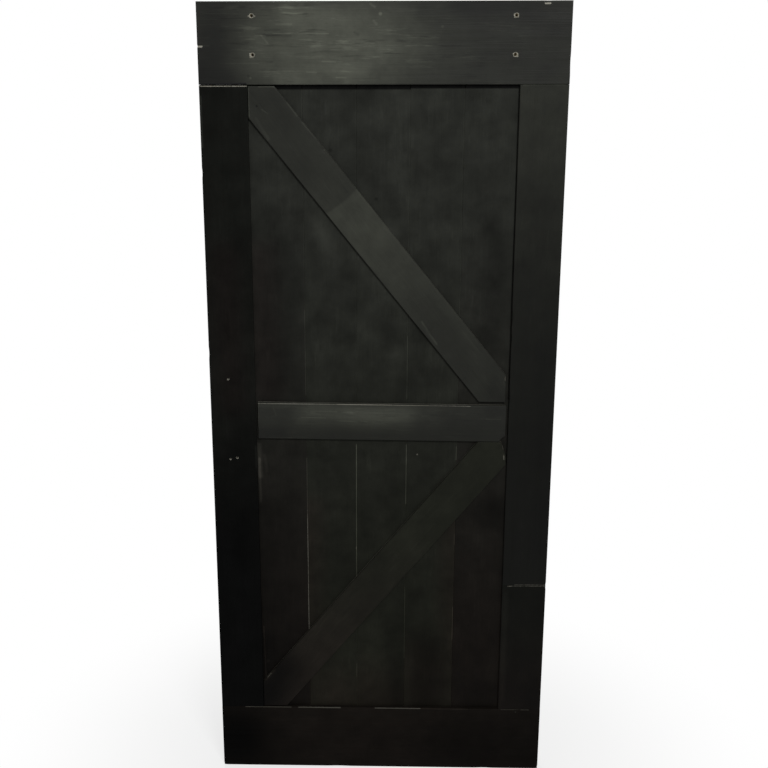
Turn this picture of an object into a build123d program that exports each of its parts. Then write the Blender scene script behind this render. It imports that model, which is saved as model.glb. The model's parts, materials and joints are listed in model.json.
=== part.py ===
from build123d import *
import os
from math import atan2, cos, degrees, radians, tan

# Leaf of a boarded sliding door: a grooved frame of rails and stiles holds five
# tongued and grooved boards, and a mid rail and two corner to corner braces are
# screwed to the front of the boards from behind. The right stile is in two lengths.
# The leaf is used: joints have opened, ends are cut out of square, corners are broken.
# Millimetres. X runs across the leaf, Y through it with the front at -Y, Z up.
# The origin is at the middle of the bottom edge.

# Leaf and frame
leaf_width = 914.0
leaf_height = 2134.0
frame_thickness = 35.0
top_rail_width = 197.0
bottom_rail_width = 194.0
stile_width = 120.0
arris = 1.5  # radius of the eased long edges

# Joints between rails and stiles
shoulder_gap = 0.6  # hairline left at a closed shoulder
open_shoulder_gap = 1.4  # the left stile has dropped away from the top rail
dowel_diameter = 12.0
dowel_length = 90.0
dowel_spacing = 60.0
dowel_clearance = 0.05  # on the radius
dowel_end_clearance = 1.5

# Finger joint in the right stile
splice_height = 584.5
splice_gap = 0.9
finger_count = 7
finger_length = 11.0
finger_tip = 1.0  # flat at the end of each finger
splice_chip_across = 5.0  # corner broken off the upper length, at the outer edge
splice_chip_up = 10.0

# Boards
board_count = 5
board_thickness = 12.0
board_gap = 0.4
board_v = 1.2  # chamfer along each joint, on both faces
tongue_thickness = 4.2
tongue_length = 6.5
tongue_clearance = 0.15
tongue_end_clearance = 0.7
panel_groove_depth = 12.0
panel_groove_clearance = 0.2  # on each face of the boards
board_side_play = 1.0
board_top_play = 2.0

# Mid rail and braces, applied to the front of the boards
infill_thickness = 10.0
mid_rail_width = 101.0
mid_rail_height = 1059.5  # of its middle, above the bottom edge
mid_rail_tilt = 0.5  # degrees out of level, low at the right
mid_rail_left_gap = 5.0
mid_rail_right_gap = 6.5
mid_rail_chip = 16.0  # broken off the lower right corner, each way
brace_width = 100.0
brace_stile_gap = 1.0  # at the left stile
brace_rail_gap = 3.0  # at the top and bottom rails
upper_brace_right_gap = 10.0
upper_brace_foot_gap = 10.5  # above the mid rail
lower_brace_right_gap = 3.0
lower_brace_head_gap = 0.8  # below the mid rail
lower_brace_lead = 10.0  # its line passes this far above the mid rail's lower corner
lower_brace_chip_across = 14.0  # broken off its upper right corner
lower_brace_chip_down = 42.0

# Screws that hold the mid rail and braces
screw_length = 20.0
screw_shank_diameter = 4.0
screw_head_diameter = 8.0
screw_head_depth = 2.4
screw_point_length = 3.5
screw_clearance = 0.1
screw_stagger = 50.0  # across the piece, between its two screws

# Pilot holes for the hangers' coach screws, in the top rail
hanger_hole_diameter = 8.0
hanger_hole_depth = 30.0
hanger_hole_spacing = 644.0
hanger_hole_pitch = 92.0
hanger_hole_inset = 34.0  # upper pair below the top edge

# Holes that a pull handle left in the left stile
handle_hole_diameter = 4.5
handle_hole_depth = 24.0
handle_hole_inset = 48.5  # from the outer edge of the stile
handle_hole_height = 953.0  # lower hole above the bottom edge
handle_hole_pitch = 225.0
stray_hole_offset = 17.5  # a second try beside the lower hole
stray_hole_rise = 4.0

# Groove for the floor guide
guide_groove_width = 8.0
guide_groove_depth = 15.0

# Places that follow from the sizes
front = -frame_thickness / 2
stile_outer = leaf_width / 2
stile_inner = stile_outer - stile_width
stile_centre = stile_outer - stile_width / 2
opening_width = 2 * stile_inner
opening_bottom = bottom_rail_width
opening_top = leaf_height - top_rail_width
panel_groove_width = board_thickness + 2 * panel_groove_clearance
board_front = -board_thickness / 2
board_back = board_thickness / 2
board_pitch = opening_width / board_count
mid_rail_left = mid_rail_left_gap - stile_inner
mid_rail_right = stile_inner - mid_rail_right_gap
dowel_hole_depth = dowel_length / 2 + dowel_end_clearance
dowel_offsets = (-dowel_spacing / 2, dowel_spacing / 2)
handle_hole_x = handle_hole_inset - stile_outer


def upright(section, bottom, top):
    """Extrudes a section drawn in X and Y from one height to another."""
    return extrude(Pos(Z=bottom) * section, top - bottom, dir=(0, 0, 1))


def hole_along_y(x, z, diameter, y_from, y_to):
    """Round hole through the leaf's thickness, between two depths."""
    hole = Cylinder(diameter / 2, y_to - y_from)
    return Pos(x, (y_from + y_to) / 2, z) * Rot(X=90) * hole


def rail(width, bottom, groove_floor, groove_mouth):
    """Full width rail, with a panel groove stopped where the stile grooves end."""
    outline = RectangleRounded(frame_thickness, width, arris)
    section = Plane.YZ * Pos(Y=bottom + width / 2) * outline
    body = extrude(section, leaf_width / 2, both=True)
    reach = opening_width + 2 * panel_groove_depth
    groove = Box(reach, panel_groove_width, abs(groove_mouth - groove_floor))
    return body - Pos(Z=(groove_floor + groove_mouth) / 2) * groove


def dowel_holes(edge, into):
    """The four dowel holes in a rail's inner edge, going up or down from it."""
    radius = dowel_diameter / 2 + dowel_clearance
    places = [(side * stile_centre + offset) for side in (-1, 1) for offset in dowel_offsets]
    middle = edge + into * dowel_hole_depth / 2
    return [Pos(x, 0, middle) * Cylinder(radius, dowel_hole_depth) for x in places]


def hanger_hole_places():
    """X and height of each hanger hole."""
    upper = leaf_height - hanger_hole_inset
    heights = (upper, upper - hanger_hole_pitch)
    return [(side * hanger_hole_spacing / 2, z) for side in (-1, 1) for z in heights]


def top_rail():
    """Top rail, drilled for the two hangers."""
    floor = opening_top + panel_groove_depth
    body = rail(top_rail_width, opening_top, floor, opening_top)
    body -= dowel_holes(opening_top, 1)
    for x, z in hanger_hole_places():
        body -= hole_along_y(x, z, hanger_hole_diameter, front, front + hanger_hole_depth)
    return body


def bottom_rail():
    """Bottom rail, with a through groove for the floor guide underneath."""
    floor = opening_bottom - panel_groove_depth
    body = rail(bottom_rail_width, 0, floor, opening_bottom)
    body -= dowel_holes(opening_bottom, -1)
    guide = Box(leaf_width, guide_groove_width, guide_groove_depth)
    return body - Pos(Z=guide_groove_depth / 2) * guide


def stile_section(side):
    """Section of a stile on one side of the leaf, with its panel groove."""
    outline = Pos(side * stile_centre) * RectangleRounded(stile_width, frame_thickness, arris)
    groove = Rectangle(panel_groove_depth, panel_groove_width)
    return outline - Pos(side * (stile_inner + panel_groove_depth / 2)) * groove


def stile(side, bottom, top):
    """Stile between two heights, with dowel holes in both ends."""
    body = upright(stile_section(side), bottom, top)
    radius = dowel_diameter / 2 + dowel_clearance
    lower_end = opening_bottom + dowel_hole_depth
    upper_end = opening_top - dowel_hole_depth
    for offset in dowel_offsets:
        x = side * stile_centre + offset
        for z_from, z_to in ((bottom, lower_end), (upper_end, top)):
            hole = Cylinder(radius, z_to - z_from)
            body -= Pos(x, 0, (z_from + z_to) / 2) * hole
    return body


def left_stile():
    """Left stile, with the holes of a pull handle that was taken off."""
    body = stile(-1, opening_bottom + shoulder_gap, opening_top - open_shoulder_gap)
    places = [
        (handle_hole_x, handle_hole_height),
        (handle_hole_x, handle_hole_height + handle_hole_pitch),
        (handle_hole_x + stray_hole_offset, handle_hole_height + stray_hole_rise),
    ]
    for x, z in places:
        body -= hole_along_y(x, z, handle_hole_diameter, front, front + handle_hole_depth)
    return body


def finger_line(z):
    """Points of the finger joint across the stile's thickness, from front to back."""
    pitch = frame_thickness / finger_count
    points = [(front, z)]
    for finger in range(finger_count):
        middle = front + (finger + 0.5) * pitch
        points += [
            (middle - pitch / 2 + finger_tip / 2, z),
            (middle - finger_tip / 2, z + finger_length),
            (middle + finger_tip / 2, z + finger_length),
            (middle + pitch / 2 - finger_tip / 2, z),
        ]
    return points + [(-front, z)]


def below_finger_line(z):
    """Solid that holds all of the right stile below a finger joint at a height."""
    outline = [(-front, 0), (front, 0)] + finger_line(z)
    face = Plane.YZ.offset(stile_inner) * make_face(Polyline(*outline, close=True))
    return extrude(face, stile_width)


def corner_break(x, z, across, along, tilt=0.0):
    """Triangle in X and Z over a corner at X and Z, on edges that run level and upright.

    Across is the length taken off the level edge, negative for a corner at its left
    end, along the length off the upright one, negative for a corner at its foot.
    Tilt turns the level edge, in degrees.
    """
    corner = Vector(x, z)
    level = corner - Vector(across, 0).rotate(Axis.Z, tilt)
    upright_end = corner - Vector(0, along)
    beyond = corner + (corner - (level + upright_end) / 2)
    points = [(point.X, point.Y) for point in (level, upright_end, beyond)]
    return make_face(Polyline(*points, close=True))


def splice_chip():
    """Solid that takes the broken corner off the upper length of the right stile."""
    foot = splice_height + splice_gap
    triangle = corner_break(stile_outer, foot, splice_chip_across, -splice_chip_up)
    return extrude(Plane.XZ * triangle, frame_thickness, both=True)


def right_stile():
    """Both lengths of the right stile, parted at the opened finger joint."""
    whole = stile(1, opening_bottom + shoulder_gap, opening_top - shoulder_gap)
    lower = whole & below_finger_line(splice_height)
    upper = whole - below_finger_line(splice_height + splice_gap) - splice_chip()
    return upper, lower


def dowel_pair(side, edge):
    """Two dowels that cross the joint between a rail's edge and a stile."""
    pin = Cylinder(dowel_diameter / 2, dowel_length)
    places = [side * stile_centre + offset for offset in dowel_offsets]
    return Compound([Pos(x, 0, edge) * pin for x in places])


def board_edges(index):
    """Left and right faces of a board, tucked into a stile where it meets one."""
    tuck = stile_inner + panel_groove_depth - board_side_play
    left = -stile_inner + index * board_pitch + board_gap / 2
    right = -stile_inner + (index + 1) * board_pitch - board_gap / 2
    if index == 0:
        left = -tuck
    if index == board_count - 1:
        right = tuck
    return left, right


def board_section(index):
    """Section of a board: tongue on its right edge, groove in its left one."""
    left, right = board_edges(index)
    section = Pos((left + right) / 2) * Rectangle(right - left, board_thickness)
    ends = section.vertices().group_by(Axis.X)
    jointed = (ends[0] if index > 0 else []) + (ends[-1] if index < board_count - 1 else [])
    section = chamfer(jointed, board_v)
    if index < board_count - 1:
        tongue = Rectangle(tongue_length, tongue_thickness)
        section += Pos(right + tongue_length / 2) * tongue
    if index > 0:
        depth = tongue_length - board_gap + tongue_end_clearance
        groove = Rectangle(depth, tongue_thickness + 2 * tongue_clearance)
        section -= Pos(left + depth / 2) * groove
    return section


def board(index, screw_places):
    """One board, standing in the bottom rail's groove, drilled for the screws."""
    bottom = opening_bottom - panel_groove_depth
    top = opening_top + panel_groove_depth - board_top_play
    body = upright(board_section(index), bottom, top)
    left, right = board_edges(index)
    for x, z in screw_places:
        if left < x < right:
            body -= screw_hole(x, z)
    return body


def infill(outline):
    """Flat piece on the front of the boards from an outline in X and Z, front edges eased."""
    face = Plane.XZ.offset(-board_front) * outline
    body = extrude(face, infill_thickness)
    return fillet(body.faces().sort_by(Axis.Y)[0].edges(), arris)


def mid_rail_outline():
    """The mid rail's outline, tilted, with its lower right corner broken off."""
    length = mid_rail_right - mid_rail_left
    outline = Rectangle(length, mid_rail_width)
    outline -= corner_break(length / 2, -mid_rail_width / 2, mid_rail_chip, -mid_rail_chip)
    middle = (mid_rail_left + mid_rail_right) / 2
    return Pos(middle, mid_rail_middle(middle)) * Rot(Z=-mid_rail_tilt) * outline


def mid_rail_middle(x):
    """Height of the mid rail's centre line at X."""
    return mid_rail_height - x * tan(radians(mid_rail_tilt))


def mid_rail_edge(x, side, gap=0.0):
    """Height at X of a line off the mid rail's upper edge, or with side -1 its lower one."""
    return mid_rail_middle(x) + side * (mid_rail_width / 2 + gap) / cos(radians(mid_rail_tilt))


def brace_line(opening_edge, side, lead=0.0):
    """Two ends of a brace's centre line: the opening's left corner, the mid rail's right end."""
    start = Vector(-stile_inner, opening_edge)
    return start, Vector(mid_rail_right, mid_rail_edge(mid_rail_right, side) + lead)


def brace_angle(line):
    """Angle of a brace's centre line above level, in degrees."""
    start, end = line
    return degrees(atan2(end.Y - start.Y, end.X - start.X))


def brace_outline(line, opening_edge, side, right_gap, mid_rail_gap):
    """A brace's outline: a strip on its line, cut plumb and level into both corners."""
    start, end = line
    middle = (start + end) / 2
    strip = Rectangle((end - start).length + 2 * brace_width, brace_width)
    strip = Pos(middle.X, middle.Y) * Rot(Z=brace_angle(line)) * strip
    left = brace_stile_gap - stile_inner
    right = stile_inner - right_gap
    rail_edge = opening_edge - side * brace_rail_gap
    window = [
        (left, rail_edge),
        (right, rail_edge),
        (right, mid_rail_edge(right, side, mid_rail_gap)),
        (left, mid_rail_edge(left, side, mid_rail_gap)),
    ]
    return strip & make_face(Polyline(*window, close=True))


def upper_brace_outline(line):
    """The upper brace's outline, from the top left corner down to the mid rail."""
    return brace_outline(line, opening_top, 1, upper_brace_right_gap, upper_brace_foot_gap)


def lower_brace_outline(line):
    """The lower brace's outline, with its upper right corner broken off."""
    outline = brace_outline(line, opening_bottom, -1, lower_brace_right_gap, lower_brace_head_gap)
    right = stile_inner - lower_brace_right_gap
    head = mid_rail_edge(right, -1, lower_brace_head_gap)
    chip = (lower_brace_chip_across, lower_brace_chip_down)
    return outline - corner_break(right, head, *chip, tilt=-mid_rail_tilt)


def screw_columns():
    """X and side of the centre line of the screws: one through each outer board."""
    column = (opening_width - board_pitch) / 2
    return ((-column, screw_stagger / 2), (column, -screw_stagger / 2))


def mid_rail_screw_places():
    """The two screws into the mid rail."""
    return [(x, mid_rail_middle(x) + off) for x, off in screw_columns()]


def brace_screw_places(line):
    """The two screws into a brace."""
    start, end = line
    along = (end - start).normalized()
    across = along.rotate(Axis.Z, 90)
    points = [start + along * ((x - start.X) / along.X) + across * off for x, off in screw_columns()]
    return [(point.X, point.Y) for point in points]


def screw_profile(clearance, extra):
    """Half section of a countersunk screw, or of its hole, along its axis from the head."""
    head = screw_head_diameter / 2 + clearance
    shank = screw_shank_diameter / 2 + clearance
    end = screw_length + extra
    points = [
        (0, 0),
        (head, 0),
        (shank, screw_head_depth),
        (shank, end - screw_point_length),
        (0, end),
    ]
    return make_face(Polyline(*points, close=True))


def from_behind(x, z, turned):
    """Stands a turned shape behind the boards at X and Z, pointing to the front."""
    return Pos(x, board_back, z) * Rot(X=90) * turned


def screw_hole(x, z):
    """Countersunk hole for one screw."""
    profile = Plane.XZ * screw_profile(screw_clearance, screw_clearance)
    return from_behind(x, z, revolve(profile, Axis.Z))


def screw(x, z):
    """One countersunk screw."""
    return from_behind(x, z, revolve(Plane.XZ * screw_profile(0, 0), Axis.Z))


def drilled(body, places):
    """An infill piece with its screw holes."""
    for x, z in places:
        body -= screw_hole(x, z)
    return body


def build():
    """Every piece of the leaf, by name."""
    upper_line = brace_line(opening_top, 1)
    lower_line = brace_line(opening_bottom, -1, lower_brace_lead)
    screws = {
        "mid_rail": mid_rail_screw_places(),
        "upper_brace": brace_screw_places(upper_line),
        "lower_brace": brace_screw_places(lower_line),
    }
    outlines = {
        "mid_rail": mid_rail_outline(),
        "upper_brace": upper_brace_outline(upper_line),
        "lower_brace": lower_brace_outline(lower_line),
    }
    pieces = {"top_rail": top_rail(), "bottom_rail": bottom_rail(), "left_stile": left_stile()}
    pieces["right_stile_upper"], pieces["right_stile_lower"] = right_stile()
    every_screw = [place for places in screws.values() for place in places]
    for index in range(board_count):
        pieces[f"board_{index + 1}"] = board(index, every_screw)
    for name, outline in outlines.items():
        pieces[name] = drilled(infill(outline), screws[name])
        pieces[f"{name}_screws"] = Compound([screw(x, z) for x, z in screws[name]])
    for end, edge in (("top", opening_top), ("bottom", opening_bottom)):
        for hand, side in (("left", -1), ("right", 1)):
            pieces[f"{end}_{hand}_dowels"] = dowel_pair(side, edge)
    return pieces


os.makedirs("parts", exist_ok=True)
for node, shape in build().items():
    export_step(shape, f"parts/{node}.step")
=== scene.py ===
"""Looks of a used sliding door leaf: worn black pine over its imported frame.

Lengths are millimetres until a mesh is written, which is in metres. A timber has three
axes of its own: along its length, across its width and through its thickness.
"""

import json
import logging
import math
from dataclasses import dataclass, replace
from enum import Enum

import bmesh
import bpy
import numpy as np
from mathutils import Matrix, Vector
from mathutils.geometry import convex_hull_2d
from numpy.typing import NDArray


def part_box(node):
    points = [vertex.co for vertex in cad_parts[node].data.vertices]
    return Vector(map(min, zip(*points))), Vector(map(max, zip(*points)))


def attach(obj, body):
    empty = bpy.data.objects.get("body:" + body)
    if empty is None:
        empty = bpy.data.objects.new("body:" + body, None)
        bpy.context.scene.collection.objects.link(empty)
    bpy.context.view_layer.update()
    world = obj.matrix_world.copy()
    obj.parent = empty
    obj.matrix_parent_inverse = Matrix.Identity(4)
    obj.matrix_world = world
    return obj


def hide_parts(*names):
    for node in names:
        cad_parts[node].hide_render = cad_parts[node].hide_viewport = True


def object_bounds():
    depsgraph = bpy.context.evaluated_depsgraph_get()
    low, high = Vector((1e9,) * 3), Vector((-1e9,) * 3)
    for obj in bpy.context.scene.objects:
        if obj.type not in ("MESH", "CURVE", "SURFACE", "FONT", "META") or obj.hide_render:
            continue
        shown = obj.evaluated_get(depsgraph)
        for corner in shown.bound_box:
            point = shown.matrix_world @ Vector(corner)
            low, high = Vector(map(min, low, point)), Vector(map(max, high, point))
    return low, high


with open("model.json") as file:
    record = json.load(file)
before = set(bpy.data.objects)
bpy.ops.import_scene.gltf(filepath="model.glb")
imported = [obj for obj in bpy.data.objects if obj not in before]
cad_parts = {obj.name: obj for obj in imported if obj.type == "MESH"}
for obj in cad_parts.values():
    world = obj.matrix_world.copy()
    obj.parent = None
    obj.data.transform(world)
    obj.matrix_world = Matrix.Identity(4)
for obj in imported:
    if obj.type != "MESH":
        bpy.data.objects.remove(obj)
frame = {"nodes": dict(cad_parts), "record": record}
CAD_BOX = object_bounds()

Array = NDArray[np.float64]
Mask = NDArray[np.bool_]
Triple = tuple[float, float, float]
Colour = Triple
Place = tuple[float, float]
Span = tuple[float, float, float, float]
Socket = bpy.types.NodeSocket

MM = 0.001
TINY = 1e-3  # millimetres within which two points are one
SHARP = 38.0  # degrees between two faces from which their edge stays sharp
BODY = "root"
SCREW_NODES = ("mid_rail_screws", "upper_brace_screws", "lower_brace_screws")
log = logging.getLogger("sliding_door")


class Lay(Enum):
    """Which way a timber runs, as the own axes that go to X, Y and Z."""

    RAIL = (0, 2, 1)
    STILE = (1, 2, 0)

    def to_world(self, points: Array) -> Array:
        """Own axes to X, Y and Z."""
        return points[..., list(self.value)]

    def to_own(self, points: Array) -> Array:
        """X, Y and Z to own axes."""
        return points[..., [self.value.index(axis) for axis in range(3)]]


class Touch(Enum):
    """What a stroke does to the paint."""

    BARE = "the paint is gone and the wood shows"
    TONE = "the paint is lighter or darker"
    WARM = "the paint is browner"


def node_points(node: str) -> Array:
    """Every corner of a CAD node's mesh, in millimetres."""
    vertices = frame["nodes"][node].data.vertices
    flat = np.zeros(len(vertices) * 3, np.float32)
    vertices.foreach_get("co", flat)
    return flat.reshape(-1, 3).astype(float) / MM


def node_box(node: str) -> Array:
    """Lowest and highest corner of a CAD node in millimetres, as two rows."""
    return np.round(np.array(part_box(node), float) / MM, 3)


def mount(name: str) -> dict:
    """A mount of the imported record, by name."""
    return next(found for found in frame["record"]["mounts"] if found["name"] == name)


def spread(fixed: Array, step: float) -> Array:
    """Sorted values that hold the fixed ones, with no gap wider than a step.

    Args:
        fixed: values that are wanted.
        step: widest gap.

    Returns:
        The values.
    """
    knots = np.unique(np.round(fixed, 4))
    spans = [
        np.linspace(a, b, max(1, math.ceil((b - a) / step)) + 1)[:-1]
        for a, b in zip(knots, knots[1:])
    ]
    return np.concatenate([*spans, knots[-1:]])


def turned(first: Array, second: Array, angle: float) -> tuple[Array, Array]:
    """Two coordinates on axes turned by an angle in degrees: u cos + v sin, and v cos - u sin."""
    cos, sin = math.cos(math.radians(angle)), math.sin(math.radians(angle))
    return first * cos + second * sin, second * cos - first * sin


def round_of(grid: Array) -> Array:
    """Points on the border of a grid, in order round it."""
    return np.concatenate([grid[0], grid[1:, -1], grid[-1, -2::-1], grid[-2:0:-1, 0]])


def cell_corners(values: NDArray, ring: bool = False) -> list[NDArray]:
    """Values of a grid at the four corners of each cell, in order round it.

    Args:
        values: rows of columns of values.
        ring: joins the last column to the first.

    Returns:
        A grid of values for each corner.
    """
    if ring:
        values = np.column_stack([values, values[:, :1]])
    return [values[:-1, :-1], values[:-1, 1:], values[1:, 1:], values[1:, :-1]]


@dataclass(frozen=True)
class Waves:
    """Smooth irregular field: a mean of plane sine waves of random length, way and phase.

    Attributes:
        seed: fixes the random draws.
        along: shortest and longest wave along a piece, in millimetres.
        across: shortest and longest wave across it.
        count: number of waves.
        gain: how far from a half the field reaches, if all waves agree.
    """

    seed: int
    along: Place = (160.0, 900.0)
    across: Place = (30.0, 160.0)
    count: int = 16
    gain: float = 0.9

    def at(self, along: Array, across: Array) -> Array:
        """Field from 0 to 1: 1/2 plus the scaled sum of sin(2 pi (u / wave + v / wave + phase)).

        Args:
            along: place along the piece.
            across: place across it.

        Returns:
            The field at each place.
        """
        random = np.random.default_rng(self.seed)
        ways = random.choice([-1.0, 1.0], self.count)
        u = along[..., None] / random.uniform(*self.along, self.count)
        v = across[..., None] * ways / random.uniform(*self.across, self.count)
        waves = np.sin(2 * np.pi * (u + v + random.uniform(0, 1, self.count)))
        return np.clip(0.5 + self.gain * waves.sum(axis=-1) / self.count, 0, 1)


@dataclass(frozen=True)
class Hollow:
    """A dent, chip or worn stretch: an ellipse seen from the front in which the surface sinks.

    Attributes:
        centre: its middle in X and Z.
        length: half its length.
        width: half its width.
        depth: how far the surface sinks at its middle.
        angle: of its length above level, in degrees.
    """

    centre: Place
    length: float
    width: float
    depth: float
    angle: float = 0.0

    def sink(self, points: Array) -> Array:
        """Depth at each point: the middle's times (1 - r squared) squared inside the ellipse."""
        x, z = points[:, 0] - self.centre[0], points[:, 2] - self.centre[1]
        along, across = turned(x, z, self.angle)
        squared = (along / self.length) ** 2 + (across / self.width) ** 2
        return self.depth * np.clip(1 - squared, 0, 1) ** 2


@dataclass(frozen=True)
class Bore:
    """Round hole into a timber, or right through it.

    Attributes:
        axis: the own axis that it runs along.
        centre: its middle on the other two axes.
        profile: radius and place of each ring of its wall from the mouth on. A last radius
            of 0 is its floor, any other is a second mouth.
        pitch: distance between the face's lines round the mouth.
        core: lines from its middle to its rim.
        reach: lines from its middle to where the face's lines run straight again.
    """

    axis: int
    centre: Place
    profile: tuple[Place, ...]
    pitch: float
    core: int = 3
    reach: int = 6

    def flat_axes(self) -> list[int]:
        """The two own axes of the faces that it opens in."""
        return [axis for axis in range(3) if axis != self.axis]

    def lines(self, axis: int) -> Array:
        """Lines that a face needs on one of its axes round this bore."""
        if axis == self.axis:
            return np.empty(0)
        middle = self.centre[self.flat_axes().index(axis)]
        return middle + self.pitch * np.arange(-self.reach, self.reach + 1)

    def mouths(self) -> list[Place]:
        """Radius and place of each open end."""
        ends = [self.profile[0], self.profile[-1]]
        return [end for end in ends if end[0] > 0]

    def open_up(self, points: Array) -> Mask:
        """Draws the grid lines of its faces onto the rims, and tells which points fall away.

        On a face the square ring of lines at distance s from the middle becomes a curve
        between circle and square: (1 - t) times the rim's circle plus t times the square,
        where t grows from 0 at the core to 1 at the reach.

        Args:
            points: grid in own axes, changed in place.

        Returns:
            True for each point on or inside the square that becomes a rim.
        """
        axes = self.flat_axes()
        offset = points[..., axes] - np.array(self.centre)
        ring = np.abs(offset).max(axis=-1) / self.pitch
        inside = np.zeros(ring.shape, bool)
        for radius, place in self.mouths():
            near = (np.abs(points[..., self.axis] - place) < TINY) & (ring < self.reach)
            share = np.clip((ring - self.core) / (self.reach - self.core), 0, 1)
            length = np.maximum(np.linalg.norm(offset, axis=-1), TINY)
            scale = np.where(near, (1 - share) * radius / length + share, 1.0)
            moved = np.array(self.centre) + offset * scale[..., None]
            points[..., axes] = np.where(near[..., None], moved, points[..., axes])
            inside |= near & (ring < self.core + TINY)
        return inside

    def wall(self, first: Array, second: Array) -> Array:
        """The bore's wall: its rim's directions carried through the rings of the profile.

        Args:
            first: the face's lines on its first axis.
            second: the face's lines on its second axis.

        Returns:
            Grid of points, one row for each ring.
        """
        half = self.core * self.pitch + TINY
        near = [
            values[np.abs(values - middle) <= half]
            for values, middle in zip((first, second), self.centre)
        ]
        spokes = round_of(np.stack(np.meshgrid(*near), axis=-1)) - np.array(self.centre)
        spokes /= np.linalg.norm(spokes, axis=1, keepdims=True)
        radii = np.array([radius for radius, _ in self.profile])
        places = np.array([place for _, place in self.profile])
        wall = np.zeros((len(radii), len(spokes), 3))
        wall[..., self.flat_axes()] = np.array(self.centre) + radii[:, None, None] * spokes
        wall[..., self.axis] = places[:, None]
        return wall


class Skin:
    """Collects patches of points in millimetres and welds them into one closed surface."""

    def __init__(self) -> None:
        """Starts empty."""
        self.points: list[Array] = []
        self.faces: list[NDArray[np.int64]] = []
        self.count = 0

    def add(self, points: Array, faces: NDArray[np.int64]) -> None:
        """Adds points, and faces of four of their numbers each.

        Args:
            points: a row for each point.
            faces: a row of four numbers for each face.
        """
        self.points.append(points)
        self.faces.append(faces + self.count)
        self.count += len(points)

    def grid(self, points: Array, ring: bool = False, keep: Mask | None = None) -> None:
        """Adds a grid of points, each cell of it a face.

        Args:
            points: rows of columns of points.
            ring: joins the last column to the first.
            keep: true for the cells that are wanted. All are if it is left out.
        """
        number = np.arange(points[..., 0].size).reshape(points.shape[:2])
        cells = np.stack(cell_corners(number, ring), axis=-1)
        self.add(points.reshape(-1, 3), cells.reshape(-1, 4) if keep is None else cells[keep])

    def mesh(self, name: str) -> bpy.types.Mesh:
        """Welds points that lie together and writes the mesh with its faces outwards.

        Args:
            name: the mesh's name.

        Returns:
            The mesh.
        """
        points, faces = np.concatenate(self.points), np.concatenate(self.faces)
        cells = np.round(points / TINY).astype(np.int64)
        _, first, same = np.unique(cells, axis=0, return_index=True, return_inverse=True)
        faces = same.reshape(-1)[faces]
        folded = (faces[:, 0] == faces[:, 2]) | (faces[:, 1] == faces[:, 3])
        faces = faces[~folded]
        twin = faces == np.roll(faces, -1, axis=1)
        quads = faces[twin.sum(axis=1) == 0]
        triangle = twin.sum(axis=1) == 1
        triangles = faces[triangle][~twin[triangle]].reshape(-1, 3)
        mesh = bpy.data.meshes.new(name)
        mesh.vertices.add(len(first))
        mesh.vertices.foreach_set("co", (points[first] * MM).astype(np.float32).ravel())
        corners = np.concatenate([quads.ravel(), triangles.ravel()]).astype(np.int32)
        mesh.loops.add(len(corners))
        mesh.loops.foreach_set("vertex_index", corners)
        starts = [np.arange(len(quads)) * 4, quads.size + np.arange(len(triangles)) * 3]
        starts = np.concatenate(starts).astype(np.int32)
        mesh.polygons.add(len(starts))
        mesh.polygons.foreach_set("loop_start", starts)
        mesh.update(calc_edges=True)
        shell = bmesh.new()
        shell.from_mesh(mesh)
        bmesh.ops.recalc_face_normals(shell, faces=shell.faces[:])
        shell.to_mesh(mesh)
        shell.free()
        return mesh


def read_points(mesh: bpy.types.Mesh, what: str = "co") -> Array:
    """Places or normals of a mesh's points, places in millimetres.

    Args:
        mesh: the mesh.
        what: co for places, normal for normals.

    Returns:
        A row of three numbers for each point.
    """
    flat = np.zeros(len(mesh.vertices) * 3, np.float32)
    mesh.vertices.foreach_get(what, flat)
    return flat.reshape(-1, 3).astype(float) / (MM if what == "co" else 1)


def write_points(mesh: bpy.types.Mesh, points: Array) -> None:
    """Puts places in millimetres back into a mesh."""
    mesh.vertices.foreach_set("co", (points * MM).astype(np.float32).ravel())
    mesh.update()


def write_share(mesh: bpy.types.Mesh, name: str, values: Array) -> None:
    """Stores a value from 0 to 1 at each point of a mesh."""
    layer = mesh.attributes.new(name, "FLOAT", "POINT")
    layer.data.foreach_set("value", np.clip(values, 0, 1).astype(np.float32))


def finish_piece(mesh: bpy.types.Mesh, node: str, slot: str, material: bpy.types.Material) -> None:
    """Shows a mesh in place of its CAD node, shaded smooth but at its sharp edges.

    Args:
        mesh: the finished surface.
        node: the CAD node that it stands for.
        slot: the record's material slot; not used.
        material: its finish.
    """
    mesh.shade_smooth()
    mesh.set_sharp_from_angle(angle=math.radians(SHARP))
    mesh.materials.append(material)
    piece = bpy.data.objects.new(f"{node}_surface", mesh)
    bpy.context.scene.collection.objects.link(piece)
    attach(piece, BODY)
    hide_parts(node)
    triangles = sum(len(polygon.vertices) - 2 for polygon in mesh.polygons)
    log.info("%s: %d triangles", node, triangles)


@dataclass(frozen=True)
class Stroke:
    """A straight mark on the front with round ends, or a spot if it has no length.

    Attributes:
        start: one end in X and Z.
        end: the other end.
        width: half its width.
        strength: share of bare wood or browner paint, or how much lighter, below 0 for darker.
        touch: what it does to the paint.
        soft: share of its half width over which it fades.
    """

    start: Place
    end: Place
    width: float
    strength: float
    touch: Touch = Touch.TONE
    soft: float = 1.0


def bare(start: Place, end: Place, width: float, strength: float = 1.0) -> Stroke:
    """A stroke that shows the wood."""
    return Stroke(start, end, width, strength, Touch.BARE, 0.6)


def spot(centre: Place, width: float, strength: float, touch: Touch = Touch.TONE) -> Stroke:
    """A round mark."""
    return Stroke(centre, centre, width, strength, touch, 0.7)


def solid(colour: Colour) -> tuple[float, float, float, float]:
    """A colour with full cover."""
    return (*colour, 1.0)


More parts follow.
